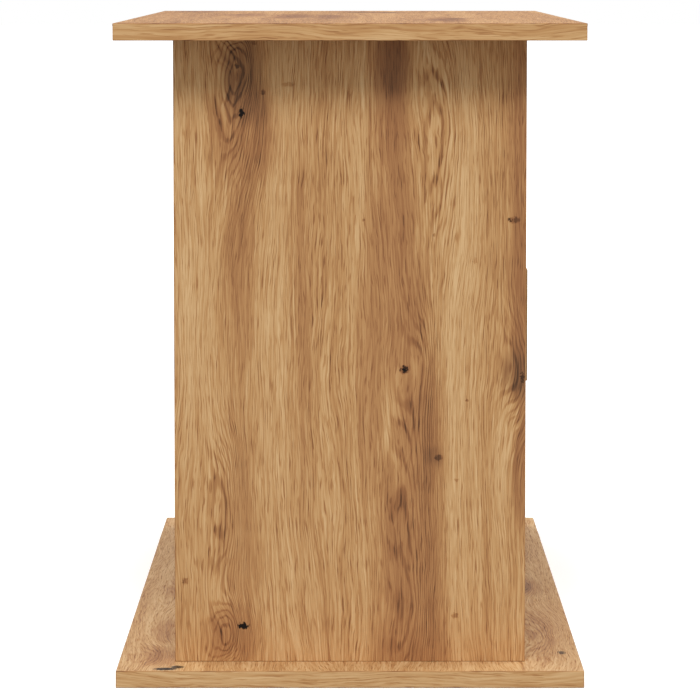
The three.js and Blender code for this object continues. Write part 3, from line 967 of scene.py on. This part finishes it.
def block(low: Sequence[float], high: Sequence[float]) -> bmesh.types.BMesh:
    """Makes a box between two corners, in metres.

    Args:
        low: One corner.
        high: The opposite corner.

    Returns:
        The box.
    """
    bm = bmesh.new()
    bmesh.ops.create_cube(bm, size=1.0)
    corners = [sorted(pair) for pair in zip(low, high)]
    middle = [(pair[0] + pair[1]) / 2 for pair in corners]
    size = [pair[1] - pair[0] for pair in corners]
    bmesh.ops.transform(bm, matrix=Matrix.LocRotScale(middle, None, size), verts=bm.verts)
    return bm


def drawn(outline: Sequence[tuple[float, float]], start: float, end: float, bend: float) -> bmesh.types.BMesh:
    """Draws an outline in X and Z out along Y, with its long edges bent round.

    Args:
        outline: The corners' X and Z, in millimetres.
        start: Where it begins on Y, in millimetres.
        end: Where it ends on Y, in millimetres.
        bend: The radius of the long edges, in millimetres.

    Returns:
        The closed solid.
    """
    bm = bmesh.new()
    flat = bm.faces.new([bm.verts.new((x * MM, start * MM, z * MM)) for x, z in outline])
    moved = bmesh.ops.extrude_face_region(bm, geom=[flat], use_keep_orig=True)["geom"]
    far = [item for item in moved if isinstance(item, bmesh.types.BMVert)]
    bmesh.ops.translate(bm, vec=(0, (end - start) * MM, 0), verts=far)
    bmesh.ops.recalc_face_normals(bm, faces=bm.faces)
    long = [edge for edge in bm.edges if abs(edge.verts[0].co.y - edge.verts[1].co.y) > MM]
    bmesh.ops.bevel(bm, geom=long, offset=bend * MM, offset_type="OFFSET", segments=4, profile=0.5,
                    affect="EDGES", material=-1, clamp_overlap=True)
    return bm


def carved(name: str, solid: bmesh.types.BMesh, cutters: Sequence[bmesh.types.BMesh],
           material: bpy.types.Material) -> bpy.types.Mesh:
    """Cuts solids out of another.

    Args:
        name: The new mesh's name.
        solid: The solid, which is freed.
        cutters: The solids that are cut away, which are freed too.
        material: The material of the result.

    Returns:
        The mesh.
    """
    body = bpy.data.objects.new("carving", to_mesh(solid, f"{name}_uncut", [material]))
    bpy.context.scene.collection.objects.link(body)
    tools = []
    for cutter in cutters:
        tool = bpy.data.objects.new("cutter", to_mesh(cutter, "cutter", [material]))
        bpy.context.scene.collection.objects.link(tool)
        change = body.modifiers.new("cut", "BOOLEAN")
        change.operation = "DIFFERENCE"
        change.solver = "EXACT"
        change.object = tool
        tools.append(tool)
    result = bpy.data.meshes.new_from_object(body.evaluated_get(bpy.context.evaluated_depsgraph_get()))
    result.name = name
    for spent in (body, *tools):
        bpy.data.objects.remove(spent)
    return result


def ridges(root: float, crest: float, start: float, end: float, pitch: float) -> list[tuple[float, float]]:
    """Gives a threaded length's profile, as a radius and height for each root and crest.

    Args:
        root: The thread's inner radius.
        crest: Its outer radius.
        start: The height where it starts.
        end: The height where it ends.
        pitch: The distance between crests.

    Returns:
        The profile, in millimetres.
    """
    turns = max(1, round(abs(end - start) / pitch))
    step = (end - start) / turns
    points = []
    for turn in range(turns):
        points += [(root, start + turn * step), (crest, start + (turn + 0.5) * step)]
    return points + [(root, end)]


def cross_cutters(centre: Vector, normal: Vector, length: float, width: float,
                  depth: float) -> list[bmesh.types.BMesh]:
    """Makes the two bars that cut a cross recess for a driver.

    Args:
        centre: The recess's middle on the surface.
        normal: The surface's outward direction, along an axis.
        length: The cross's length, in millimetres.
        width: The bars' width, in millimetres.
        depth: The recess's depth, in millimetres.

    Returns:
        The two bars.
    """
    bars = []
    flat_axes = [index for index in range(3) if abs(normal[index]) < 0.5]
    for long_axis in flat_axes:
        half = Vector((0, 0, 0))
        for index in flat_axes:
            half[index] = (length if index == long_axis else width) / 2 * MM
        bars.append(block(centre - half - normal * depth * MM, centre + half + normal * MM))
    return bars



@dataclass
class FacedBoard:
    """A board with a decor on its two large faces, edge bands round it and a raw core inside."""

    node: str
    body: str
    face: bpy.types.Material
    finishes: Finishes
    rear_face: bpy.types.Material | None = None
    slot: str = "oak_faced_board"
    round_over: float = 0.6 * MM
    banded: bool = True

    def build(self) -> bpy.types.Object:
        """Builds the board from its node, rounds its edges and gives each face its finish.

        Returns:
            The piece.
        """
        low, high = (Vector(corner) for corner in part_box(self.node))
        size = high - low
        thickness = Axis(min(range(3), key=lambda index: size[index]))
        bm = node_bmesh(self.node)
        self.round_edges(bm, low, high)
        runs = [axis for axis in Axis if axis is not thickness]
        raw = self.finishes.raw_back
        bands = [self.finishes.band(run, thickness) if self.banded else raw for run in runs]
        # The rounded edges take the darker arris decor, which is painted shade along the board's edges.
        painted_shade_arrises = [self.finishes.band(run, thickness, True) if self.banded else raw for run in runs]
        materials = [self.face, *bands, self.finishes.core, self.rear_face or self.face, *painted_shade_arrises]
        for polygon in bm.faces:
            polygon.material_index = self.face_slot(polygon, low, high, thickness, runs)
        mesh = to_mesh(bm, f"{self.node}_mesh", materials)
        return show(f"{self.node}_faced", mesh, self.body, (self.node,))

    def round_edges(self, bm: bmesh.types.BMesh, low: Vector, high: Vector) -> None:
        """Rounds the edges of the board's outer box, and leaves its holes sharp.

        Args:
            bm: The board's mesh.
            low: Its lowest corner.
            high: Its highest corner.
        """
        def planes(place: Vector) -> set[tuple[int, bool]]:
            """Lists the outer planes that a point lies on.

            Args:
                place: The point.

            Returns:
                Each plane, as its axis and whether it is the higher one.
            """
            near = 0.00002
            lower = {(axis, False) for axis in range(3) if abs(place[axis] - low[axis]) < near}
            return lower | {(axis, True) for axis in range(3) if abs(place[axis] - high[axis]) < near}

        outer = [edge for edge in bm.edges if len(planes(edge.verts[0].co) & planes(edge.verts[1].co)) >= 2]
        bmesh.ops.bevel(bm, geom=outer, offset=self.round_over, offset_type="OFFSET", segments=3,
                        profile=0.5, affect="EDGES", material=-1, clamp_overlap=True)

    def face_slot(self, polygon: bmesh.types.BMFace, low: Vector, high: Vector, thickness: Axis,
                  runs: Sequence[Axis]) -> int:
        """Chooses the material slot of a face from its place on the board.

        Args:
            polygon: The face.
            low: The board's lowest corner.
            high: Its highest corner.
            thickness: The axis of its thickness.
            runs: The other two axes, in the order of the band slots.

        Returns:
            The slot's index.
        """
        middle = polygon.calc_center_median()
        near = self.round_over * 1.1
        depth = [min(middle[index] - low[index], high[index] - middle[index]) for index in range(3)]
        outer = [axis for axis in Axis if depth[axis.value] < near]
        facing = [axis for axis in outer if abs(polygon.normal[axis.value]) > 0.05]
        if not facing or (len(facing) == 1 and abs(polygon.normal[facing[0].value]) < 0.99):
            depths = [vertex.co[thickness.value] for vertex in polygon.verts]
            through = max(depths) - min(depths) > 0.85 * (high - low)[thickness.value]
            steeper = max(runs, key=lambda axis: abs(polygon.normal[axis.value]))
            return 1 + runs.index(other_axis(thickness, steeper)) if through else 3
        edge_axes = [axis for axis in facing if axis is not thickness]
        if not edge_axes:
            return 4 if polygon.normal[thickness.value] > 0 else 0
        run = runs.index(other_axis(thickness, edge_axes[0]))
        sharp = max(abs(part) for part in polygon.normal) > 0.99
        # Rounded edge faces take the darker arris slots, which are painted shade. Flat edge faces take the
        # bands.
        return (1 if sharp else 5) + run


# ---- Studio ----


@dataclass(frozen=True)
class Lamp:
    """A distant soft lamp: its heading over the floor, elevation and spread in degrees, and brightness."""

    name: str
    heading: tuple[float, float]
    elevation: float
    spread: float
    brightness: float

    def hang(self) -> None:
        """Adds the lamp, aimed down. At a brightness of 1 it lights a square white face fully."""
        rise = math.radians(self.elevation)
        flat = Vector((*self.heading, 0.0)).normalized()
        towards = flat * math.cos(rise) + Vector((0.0, 0.0, math.sin(rise)))
        data = bpy.data.lights.new(self.name, "SUN")
        data.energy = self.brightness * math.pi
        data.angle = math.radians(self.spread)
        lamp = bpy.data.objects.new(self.name, data)
        lamp.rotation_euler = (-towards).to_track_quat("-Z", "Y").to_euler()
        bpy.context.scene.collection.objects.link(lamp)


@dataclass
class Studio:
    """A pale floor, a soft sky, a key lamp facing the near end and two fills behind it."""

    camera_place: tuple[float, float, float] = (-4.0696, 0.0, 0.6286)
    camera_pitch: float = math.radians(5.313)
    lens: float = 211.99
    sky: float = 0.62
    floor_half: float = 40.0
    floor_shade: float = 0.36
    floor_shine: float = 1.18
    lamps: tuple[Lamp, ...] = (
        Lamp("key", (-1.0, 0.0), 48.0, 20.0, 0.57),
        Lamp("fill_front", (0.5, -0.86), 46.0, 30.0, 0.28),
        Lamp("fill_rear", (0.5, 0.86), 46.0, 30.0, 0.28),
    )

    def build(self) -> None:
        """Sets up the camera, the lamps, the sky and the floor."""
        scene = bpy.context.scene
        scene.view_settings.view_transform = "Standard"
        scene.view_settings.look = "None"
        self.place_camera()
        self.lay_floor()
        self.light_sky()
        for lamp in self.lamps:
            lamp.hang()

    def place_camera(self) -> None:
        """Stands the camera off the left end, just above the top and tilted a little down."""
        data = bpy.data.cameras.new("camera")
        data.lens = self.lens
        data.sensor_width = 36.0
        data.clip_end = 200.0
        camera = bpy.data.objects.new("camera", data)
        camera.location = self.camera_place
        camera.rotation_euler = (math.pi / 2 - self.camera_pitch, 0.0, -math.pi / 2)
        bpy.context.scene.collection.objects.link(camera)
        bpy.context.scene.camera = camera

    def lay_floor(self) -> None:
        """Lays a wide floor that the camera sees as white and that throws back a third of its light."""
        bm = bmesh.new()
        bmesh.ops.create_grid(bm, x_segments=1, y_segments=1, size=self.floor_half)
        graph = Graph("pale_floor")
        seen = graph.node("ShaderNodeLightPath").outputs["Is Camera Ray"]
        tone = graph.step(seen, 0.0, 1.0, self.floor_shade, self.floor_shine)
        mesh = to_mesh(bm, "studio_floor", [graph.finish(tone, 0.9)])
        floor = bpy.data.objects.new("studio_floor", mesh)
        graph.shader.inputs["Specular IOR Level"].default_value = 0.0
        bpy.context.scene.collection.objects.link(floor)

    def light_sky(self) -> None:
        """Lights the scene from all round, less brightly than the white backdrop that the camera sees."""
        world = bpy.data.worlds.new("studio_sky")
        world.use_nodes = True
        bpy.context.scene.world = world
        tree = world.node_tree
        background = tree.nodes["Background"]
        background.inputs["Color"].default_value = (1.0, 1.0, 1.0, 1.0)
        ray = tree.nodes.new("ShaderNodeLightPath")
        strength = tree.nodes.new("ShaderNodeMapRange")
        strength.inputs["To Min"].default_value = self.sky
        strength.inputs["To Max"].default_value = 1.0
        tree.links.new(ray.outputs["Is Camera Ray"], strength.inputs["Value"])
        tree.links.new(strength.outputs[0], background.inputs["Strength"])


# ---- Carcass ----


def board_decor(node: str, along: Axis, across: Axis, seed: int, level: float = 0.79) -> bpy.types.Material:
    """Gives a board a decor of its own, with figures and knots that its seed chooses.

    Args:
        node: The board's node.
        along: The axis that its grain follows.
        across: The axis across its grain.
        seed: The board's number.
        level: How light the wood is.

    Returns:
        The decor's material.
    """
    low, high = (Vector(corner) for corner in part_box(node))
    half = (high - low) / (2 * MM)
    middle = tuple((high + low) / 2)
    features = natural_features(seed, half[along.value], half[across.value])
    return OakDecor(along, across, middle, seed * 1.37, level=level, **features).material(f"oak_{node}")


@dataclass
class Carcass:
    """The boards that do not move, and the back in its grooves."""

    finishes: Finishes
    body: str = "carcass"

    def build(self) -> None:
        """Builds every board of the carcass."""
        plan = {
            # The top's decor is set darker (level 0.65) as painted shade, against the extra light that its
            # upper face takes.
            "top_panel": (Axis.X, Axis.Y, 11, 0.65),
            "divider_left": (Axis.Z, Axis.Y, 31),
            "divider_right": (Axis.Z, Axis.Y, 47),
            "side_panel_right": (Axis.Z, Axis.Y, 59),
            "shelf_left": (Axis.X, Axis.Y, 61),
            "shelf_right": (Axis.X, Axis.Y, 73),
            "drawer_floor_shelf": (Axis.X, Axis.Y, 83),
            "drawer_roof_shelf": (Axis.X, Axis.Y, 97),
        }
        for node, grain in plan.items():
            FacedBoard(node, self.body, board_decor(node, *grain), self.finishes).build()
        self.figured("side_panel_left", Axis.Z, 5.2, END_PANEL_FIGURES, END_PANEL_STAINS)
        # The base's decor is set lighter (level 0.86). This is partly its own lighter wood and partly painted
        # light against the shade that it lies in beside the carcass.
        self.figured("base_panel", Axis.X, 8.6, BASE_FIGURES, BASE_STAINS, 0.86)
        self.back()

    def figured(self, node: str, along: Axis, seed: float, figures: tuple[Figure, ...],
                stains: tuple[Stain, ...], level: float = 0.79) -> None:
        """Builds a board whose figures and stains are known.

        Args:
            node: The board's node.
            along: The axis of its grain.
            seed: The board's number.
            figures: Its figures.
            stains: Its stains.
            level: How light the wood is.
        """
        low, high = (Vector(corner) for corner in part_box(node))
        decor = OakDecor(along, Axis.Y, tuple((low + high) / 2), seed, figures, stains, level)
        FacedBoard(node, self.body, decor.material(f"oak_{node}"), self.finishes).build()

    def back(self) -> None:
        """Builds the hardboard back: decor inside, raw outside."""
        decor = board_decor("back_panel", Axis.Z, Axis.X, 109)
        FacedBoard("back_panel", self.body, decor, self.finishes, self.finishes.raw_back, "hardboard",
                   0.2 * MM, banded=False).build()


# ---- Drawer ----


@dataclass
class Drawer:
    """The drawer's front, box and bottom."""

    finishes: Finishes
    body: str = "drawer"

    def build(self) -> None:
        """Builds the drawer's boards."""
        plan = {
            "drawer_front": (Axis.X, Axis.Z, 127),
            "drawer_box_front": (Axis.X, Axis.Z, 131),
            "drawer_box_back": (Axis.X, Axis.Z, 149),
            "drawer_side_left": (Axis.Y, Axis.Z, 151),
            "drawer_side_right": (Axis.Y, Axis.Z, 163),
        }
        for node, (along, across, seed) in plan.items():
            FacedBoard(node, self.body, board_decor(node, along, across, seed), self.finishes).build()
        self.bottom()

    def bottom(self) -> None:
        """Builds the drawer's hardboard bottom: decor above, raw below."""
        decor = board_decor("drawer_bottom", Axis.Y, Axis.X, 173)
        FacedBoard("drawer_bottom", self.body, self.finishes.raw_back, self.finishes, decor, "hardboard",
                   0.2 * MM, banded=False).build()


# ---- Runners ----


@dataclass
class Runners:
    """Two pairs of roller runners: a channel on each divider and a rail under each drawer side."""

    finishes: Finishes
    divider: float = 110.0
    gap: float = 12.5
    sheet: float = 1.25
    bend: float = 0.45
    channel_width: float = 9.5
    channel_lip: float = 2.0
    cut_back_width: float = 12.0
    cut_back_length: float = 18.0
    rail_reach: float = 23.0
    running_edge: float = 1.75
    hole_radius: float = 2.25
    screw_height: float = 253.75
    roller_centre: float = 5.375
    roller_half: float = 2.625
    end_play: float = 0.25
    screw_places: tuple[float, ...] = (-118.0, -22.0, 74.0)

    def build(self) -> None:
        """Builds both pairs."""
        for name, side in SIDES.items():
            self.channel(name, side)
            self.rail(name, side)
            self.axle(f"front_axle_{name}", "carcass", side, 1.0, f"front_roller_{name}", self.sheet / 2)
            root = self.gap - self.sheet / 2
            self.axle(f"rear_axle_{name}", "drawer", side, -1.0, f"rear_roller_{name}", root)
            for end in ENDS:
                self.roller(f"{end}_roller_{name}", side)
            for index, y in enumerate(self.screw_places):
                self.channel_screw(f"runner_screw_{name}_{index + 1}", side, y)

    def outline(self, side: float, points: Sequence[tuple[float, float]]) -> list[tuple[float, float]]:
        """Turns distances from the divider's face into X."""
        return [(side * (self.divider - distance), z) for distance, z in points]

    def channel(self, name: str, side: float) -> None:
        """Builds the channel, with its flanges cut back round the front roller and its screw holes.

        Args:
            name: The side's name.
            side: Which side of the drawer, -1 or 1.
        """
        node = f"cabinet_runner_{name}"
        low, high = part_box(node)
        start, end, foot, head = (value / MM for value in (low[1], high[1], low[2], high[2]))
        width, lip = self.channel_width, self.channel_lip
        inner = width - self.sheet
        solid = drawn(self.outline(side, (
            (0, foot), (width, foot), (width, foot + self.sheet + lip), (inner, foot + self.sheet + lip),
            (inner, foot + self.sheet), (self.sheet, foot + self.sheet), (self.sheet, head - self.sheet),
            (inner, head - self.sheet), (inner, head - self.sheet - lip), (width, head - self.sheet - lip),
            (width, head), (0, head),
        )), start, end, self.bend)
        inward = Vector((-side, 0, 0))
        nose = block(((side * (self.divider - self.sheet)) * MM, low[1] - MM, low[2] - MM),
                     ((side * (self.divider - self.cut_back_width)) * MM,
                      low[1] + self.cut_back_length * MM, high[2] + MM))
        holes = [
            turned(((0, -1), (self.hole_radius, -1), (self.hole_radius, 3), (0, 3)), inward,
                   self.screw_place(side, y), 32)
            for y in self.screw_places
        ]
        mesh = carved(f"{node}_mesh", solid, [nose, *holes], self.finishes.steel)
        show(f"{node}_formed", mesh, "carcass", (node,))

    def screw_place(self, side: float, y: float) -> Vector:
        """Returns where a channel's screw meets the divider."""
        return Vector((side * self.divider, y, self.screw_height)) * MM

    def rail(self, name: str, side: float) -> None:
        """Builds the rail: a wall, a flange under the drawer side and a flange that runs on the roller.

        Args:
            name: The side's name.
            side: Which side of the drawer, -1 or 1.
        """
        node = f"drawer_runner_{name}"
        low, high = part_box(node)
        start, end, foot, head = (value / MM for value in (low[1], high[1], low[2], high[2]))
        wall, gap, reach, edge = self.gap - self.sheet, self.gap, self.rail_reach, self.running_edge
        solid = drawn(self.outline(side, (
            (reach, foot), (reach, foot + self.sheet), (gap, foot + self.sheet), (gap, head), (edge, head),
            (edge, head - self.sheet), (wall, head - self.sheet), (wall, foot),
        )), start, end, self.bend)
        mesh = to_mesh(solid, f"{node}_mesh", [self.finishes.steel])
        show(f"{node}_formed", mesh, "drawer", (node,))

    def axle(self, name: str, body: str, side: float, towards: float, roller: str, root: float) -> None:
        """Builds a roller's axle: shoulder, pin and riveted head.

        Args:
            name: The piece's name.
            body: The body that it rides on.
            side: Which side of the drawer, -1 or 1.
            towards: 1 where it points at the drawer, -1 where it points at the divider.
            roller: The roller's node, which gives its height and depth.
            root: The distance from the divider where the axle starts.
        """
        low, high = (Vector(corner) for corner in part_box(roller))
        middle = (low + high) / 2
        near = self.roller_centre - towards * (self.roller_half + self.end_play)
        shoulder = abs(near - root)
        pin = shoulder + 2 * (self.roller_half + self.end_play)
        start = Vector((side * (self.divider - root) * MM, middle.y, middle.z))
        profile = ((0, 0), (3, 0), (3, shoulder), (2, shoulder), (2, pin), (3.25, pin), (2.9, pin + 0.5),
                   (1.8, pin + 0.72), (0, pin + 0.75))
        solid = turned(profile, Vector((-side * towards, 0, 0)), start, 40, 0.08)
        show(name, to_mesh(solid, f"{name}_mesh", [self.finishes.plated]), body)

    def roller(self, node: str, side: float) -> None:
        """Builds a nylon roller with a hub, a dished web and a rounded tread.

        Args:
            node: The frame's node that it stands for.
            side: Which side of the drawer, -1 or 1.
        """
        low, high = (Vector(corner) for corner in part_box(node))
        half = self.roller_half
        near = [(2.25, half), (3.5, half), (3.7, half - 0.7), (5.3, half - 0.7), (5.5, half), (6.4, half),
                (7, half - 0.6)]
        far = [(radius, -height) for radius, height in reversed(near)]
        profile = near + far + near[:1]
        solid = turned(profile, Vector((1, 0, 0)), (low + high) / 2, 72, 0.12)
        show(f"{node}_turned", to_mesh(solid, f"{node}_mesh", [self.finishes.nylon]), node, (node,))

    def channel_screw(self, name: str, side: float, y: float) -> None:
        """Builds a low-headed screw that holds a channel to its divider.

        Args:
            name: The piece's name.
            side: Which side of the drawer, -1 or 1.
            y: Its place on Y, in millimetres.
        """
        place = self.screw_place(side, y)
        inward = Vector((-side, 0, 0))
        profile = [(0, -13), *ridges(1.2, 1.9, -11, 0, 1.6), (2.0, 0.4), (2.0, self.sheet), (3.5, self.sheet),
                   (3.3, 1.5), (2.0, 1.62), (0, 1.65)]
        cutters = cross_cutters(place + inward * 1.65 * MM, inward, 3.6, 0.8, 1.4)
        mesh = carved(f"{name}_mesh", turned(profile, inward, place, 40), cutters, self.finishes.plated)
        show(name, mesh, "carcass")


# ---- Fittings ----


@dataclass
class Fittings:
    """Cam joints at the top, screws up through the base, shelf pins and the drawer's screws."""

    finishes: Finishes
    board: float = 15.0
    bolt_thread: float = 11.0
    pin_shank: float = 9.5
    corner_screw_inset: float = 6.0
    corner_screw_heights: tuple[float, float] = (277.0, 297.0)
    cap_place: float = 110.0
    cap_heights: tuple[float, float] = (232.0, 339.0)

    def build(self) -> None:
        """Builds every fitting."""
        for upright in UPRIGHTS:
            for end, sign in ENDS.items():
                self.cam_lock(f"cam_lock_{upright}_{end}", upright)
                self.cam_bolt(f"cam_bolt_{upright}_{end}")
                self.connecting_screw(f"connecting_screw_{upright}_{end}")
                self.shelf_pin(f"shelf_pin_{upright}_{end}", upright)
                if upright.startswith("divider"):
                    self.cover_caps(upright, end, sign)
        for name, side in SIDES.items():
            self.front_screw(f"drawer_front_screw_{name}")
            self.corner_screws(name, side)

    @staticmethod
    def cam_face(upright: str) -> float:
        """Returns which way an upright's cams face: 1 for +X, -1 for -X."""
        return 1.0 if upright.endswith("left") else -1.0

    @staticmethod
    def pin_face(upright: str) -> float:
        """Returns which way an upright's shelf pins face: into the side compartments."""
        return 1.0 if upright in ("side_panel_left", "divider_right") else -1.0

    def cam_lock(self, node: str, upright: str) -> None:
        """Builds a cast cam with a driver cross, a chamfered rim and a pocket for the bolt's head.

        Args:
            node: The frame's node that it stands for.
            upright: The upright that holds it.
        """
        low, high = (Vector(corner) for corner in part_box(node))
        middle = (low + high) / 2
        facing = self.cam_face(upright)
        outward = Vector((facing, 0, 0))
        face = Vector((high.x if facing > 0 else low.x, middle.y, middle.z))
        profile = ((0, -12), (6.6, -12), (7.4, -11.2), (7.4, -0.5), (6.9, 0), (6.1, 0), (5.8, -0.35),
                   (5.3, -0.35), (5.0, 0), (0, 0))
        drum = turned(profile, outward, face, 64)
        up = Vector((0, 0, 1))
        centre = Vector((face.x - facing * self.board / 2 * MM, middle.y, middle.z))
        pocket = turned(((0, -3.9), (3.9, -3.9), (3.9, 9), (0, 9)), up, centre, 40)
        cutters = [pocket, *cross_cutters(face, outward, 8.0, 1.6, 1.5)]
        mesh = carved(f"{node}_mesh", drum, cutters, self.finishes.zinc)
        show(f"{node}_cast", mesh, "carcass", (node,))

    def cam_bolt(self, node: str) -> None:
        """Builds a bolt with a rounded head, a neck, a shank, a collar and a thread.

        Args:
            node: The frame's node that it stands for.
        """
        low, high = (Vector(corner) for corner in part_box(node))
        seat = Vector(((low.x + high.x) / 2, (low.y + high.y) / 2, high.z - self.bolt_thread * MM))
        profile = [(0, -25.5), (2.2, -25.5), (3.2, -24.6), (3.2, -22.9), (2.2, -22), (2, -21.6), (2, -18.4),
                   (3, -18), (3, -2), (3.75, -2), (3.75, -0.5), *ridges(2.0, 2.5, -0.5, 10.2, 1.2), (1.4, 11),
                   (0, 11)]
        self.turned_piece(node, profile, Vector((0, 0, 1)), seat, self.finishes.plated)

    def connecting_screw(self, node: str) -> None:
        """Builds a countersunk screw with a hexagon socket and a thread up into the upright.

        Args:
            node: The frame's node that it stands for.
        """
        low, high = (Vector(corner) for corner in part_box(node))
        foot = Vector(((low.x + high.x) / 2, (low.y + high.y) / 2, 0))
        up = Vector((0, 0, 1))
        profile = [(0, 0.5), (4.6, 0.5), (5, 0.8), (3.5, 4.5), (3.5, 14.5), *ridges(1.9, 2.6, 15, 46, 2.2),
                   (0, 48.5)]
        socket = turned(((0, -1), (2.3, -1), (2.3, 3.2), (0, 3.8)), up, foot, HEX_SIDES)
        mesh = carved(f"{node}_mesh", turned(profile, up, foot, 40), [socket], self.finishes.plated)
        show(f"{node}_turned", mesh, "carcass", (node,))

    def shelf_pin(self, node: str, upright: str) -> None:
        """Builds a shelf pin: a grooved shank in the upright and a rounded head under the shelf.

        Args:
            node: The frame's node that it stands for.
            upright: The upright that holds it.
        """
        low, high = (Vector(corner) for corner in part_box(node))
        facing = self.pin_face(upright)
        middle = (low + high) / 2
        shank = self.pin_shank * MM
        face = Vector(((low.x + shank) if facing > 0 else (high.x - shank), middle.y, middle.z))
        profile = [(0, -9.5), (1.9, -9.5), (2.5, -8.9), (2.5, -5), (2.2, -4.6), (2.2, -3.4), (2.5, -3),
                   (2.5, 0.25), (3.2, 0.25), (3.5, 0.6), (3.5, 7), (3.1, 7.6), (2.2, 8), (0, 8)]
        towards = Vector((facing, 0, 0))
        self.turned_piece(node, profile, towards, face, self.finishes.nickel)

    def front_screw(self, node: str) -> None:
        """Builds a pan-headed screw that holds the drawer front to its box.

        Args:
            node: The frame's node that it stands for.
        """
        low, high = (Vector(corner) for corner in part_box(node))
        forward = Vector((0, -1, 0))
        head = Vector(((low.x + high.x) / 2, high.y, (low.z + high.z) / 2))
        profile = [(0, 0), (2.2, 0), (3.6, 0.5), (4, 1.3), (4, 2.4), (2, 2.4), (2, 6),
                   *ridges(1.4, 2.0, 6.2, 22, 1.8), (0, 23.9)]
        cutters = cross_cutters(head, -forward, 4.4, 0.9, 1.5)
        mesh = carved(f"{node}_mesh", turned(profile, forward, head, 40), cutters, self.finishes.plated)
        show(f"{node}_turned", mesh, "drawer", (node,))

    def corner_screws(self, name: str, side: float) -> None:
        """Builds the flat heads of the screws at the drawer box's corners.

        Args:
            name: The side's name.
            side: Which side of the drawer, -1 or 1.
        """
        low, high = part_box(f"drawer_side_{name}")
        outward = Vector((side, 0, 0))
        face = high[0] if side > 0 else low[0]
        inset = self.corner_screw_inset * MM
        for end, y in (("front", low[1] + inset), ("rear", high[1] - inset)):
            for level, z in zip(("low", "high"), self.corner_screw_heights):
                place = Vector((face, y, z * MM))
                profile = [(0, -26), *ridges(1.2, 1.8, -24, -3, 1.6), (1.8, -2.4), (3.6, -0.4), (3.6, 0.05),
                           (0, 0.15)]
                label = f"drawer_corner_screw_{name}_{end}_{level}"
                cutters = cross_cutters(place + outward * 0.15 * MM, outward, 3.8, 0.8, 1.4)
                solid = turned(profile, outward, place, 32)
                mesh = carved(f"{label}_mesh", solid, cutters, self.finishes.plated)
                show(label, mesh, "drawer")

    def cover_caps(self, upright: str, end: str, sign: float) -> None:
        """Builds the caps that hide the screws into the drawer bay's two fixed boards.

        Args:
            upright: The upright that holds them.
            end: The end's name, front or rear.
            sign: Which end that is, -1 or 1.
        """
        low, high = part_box(upright)
        facing = self.pin_face(upright)
        face = high[0] if facing > 0 else low[0]
        for level, z in zip(("low", "high"), self.cap_heights):
            profile = ((0, -2.5), (1.9, -2.5), (2.0, -0.1), (6.5, -0.1), (6.5, 0.35), (5.6, 0.9), (0, 1.1))
            label = f"cover_cap_{upright}_{end}_{level}"
            place = Vector((face, sign * self.cap_place * MM, z * MM))
            solid = turned(profile, Vector((facing, 0, 0)), place, 56, 0.15)
            show(label, to_mesh(solid, f"{label}_mesh", [self.finishes.cap]), "carcass")

    def turned_piece(self, node: str, profile: Sequence[tuple[float, float]], towards: Vector,
                     start: Vector, material: bpy.types.Material) -> None:
        """Spins a profile and lets it stand for a node of the carcass.

        Args:
            node: The frame's node that it stands for.
            profile: Pairs of a radius and a height, in millimetres.
            towards: The axis's direction.
            start: The point of height zero.
            material: Its material.
        """
        mesh = to_mesh(turned(profile, towards, start, 48), f"{node}_mesh", [material])
        show(f"{node}_turned", mesh, "carcass", (node,))


def main() -> None:
    """Builds the sub-assemblies in order."""
    logging.basicConfig(level=logging.INFO, format="%(name)s: %(message)s")
    finishes = Finishes()
    Studio().build()
    Carcass(finishes).build()
    Drawer(finishes).build()
    Runners(finishes).build()
    Fittings(finishes).build()


if __name__ == "__main__":
    main()
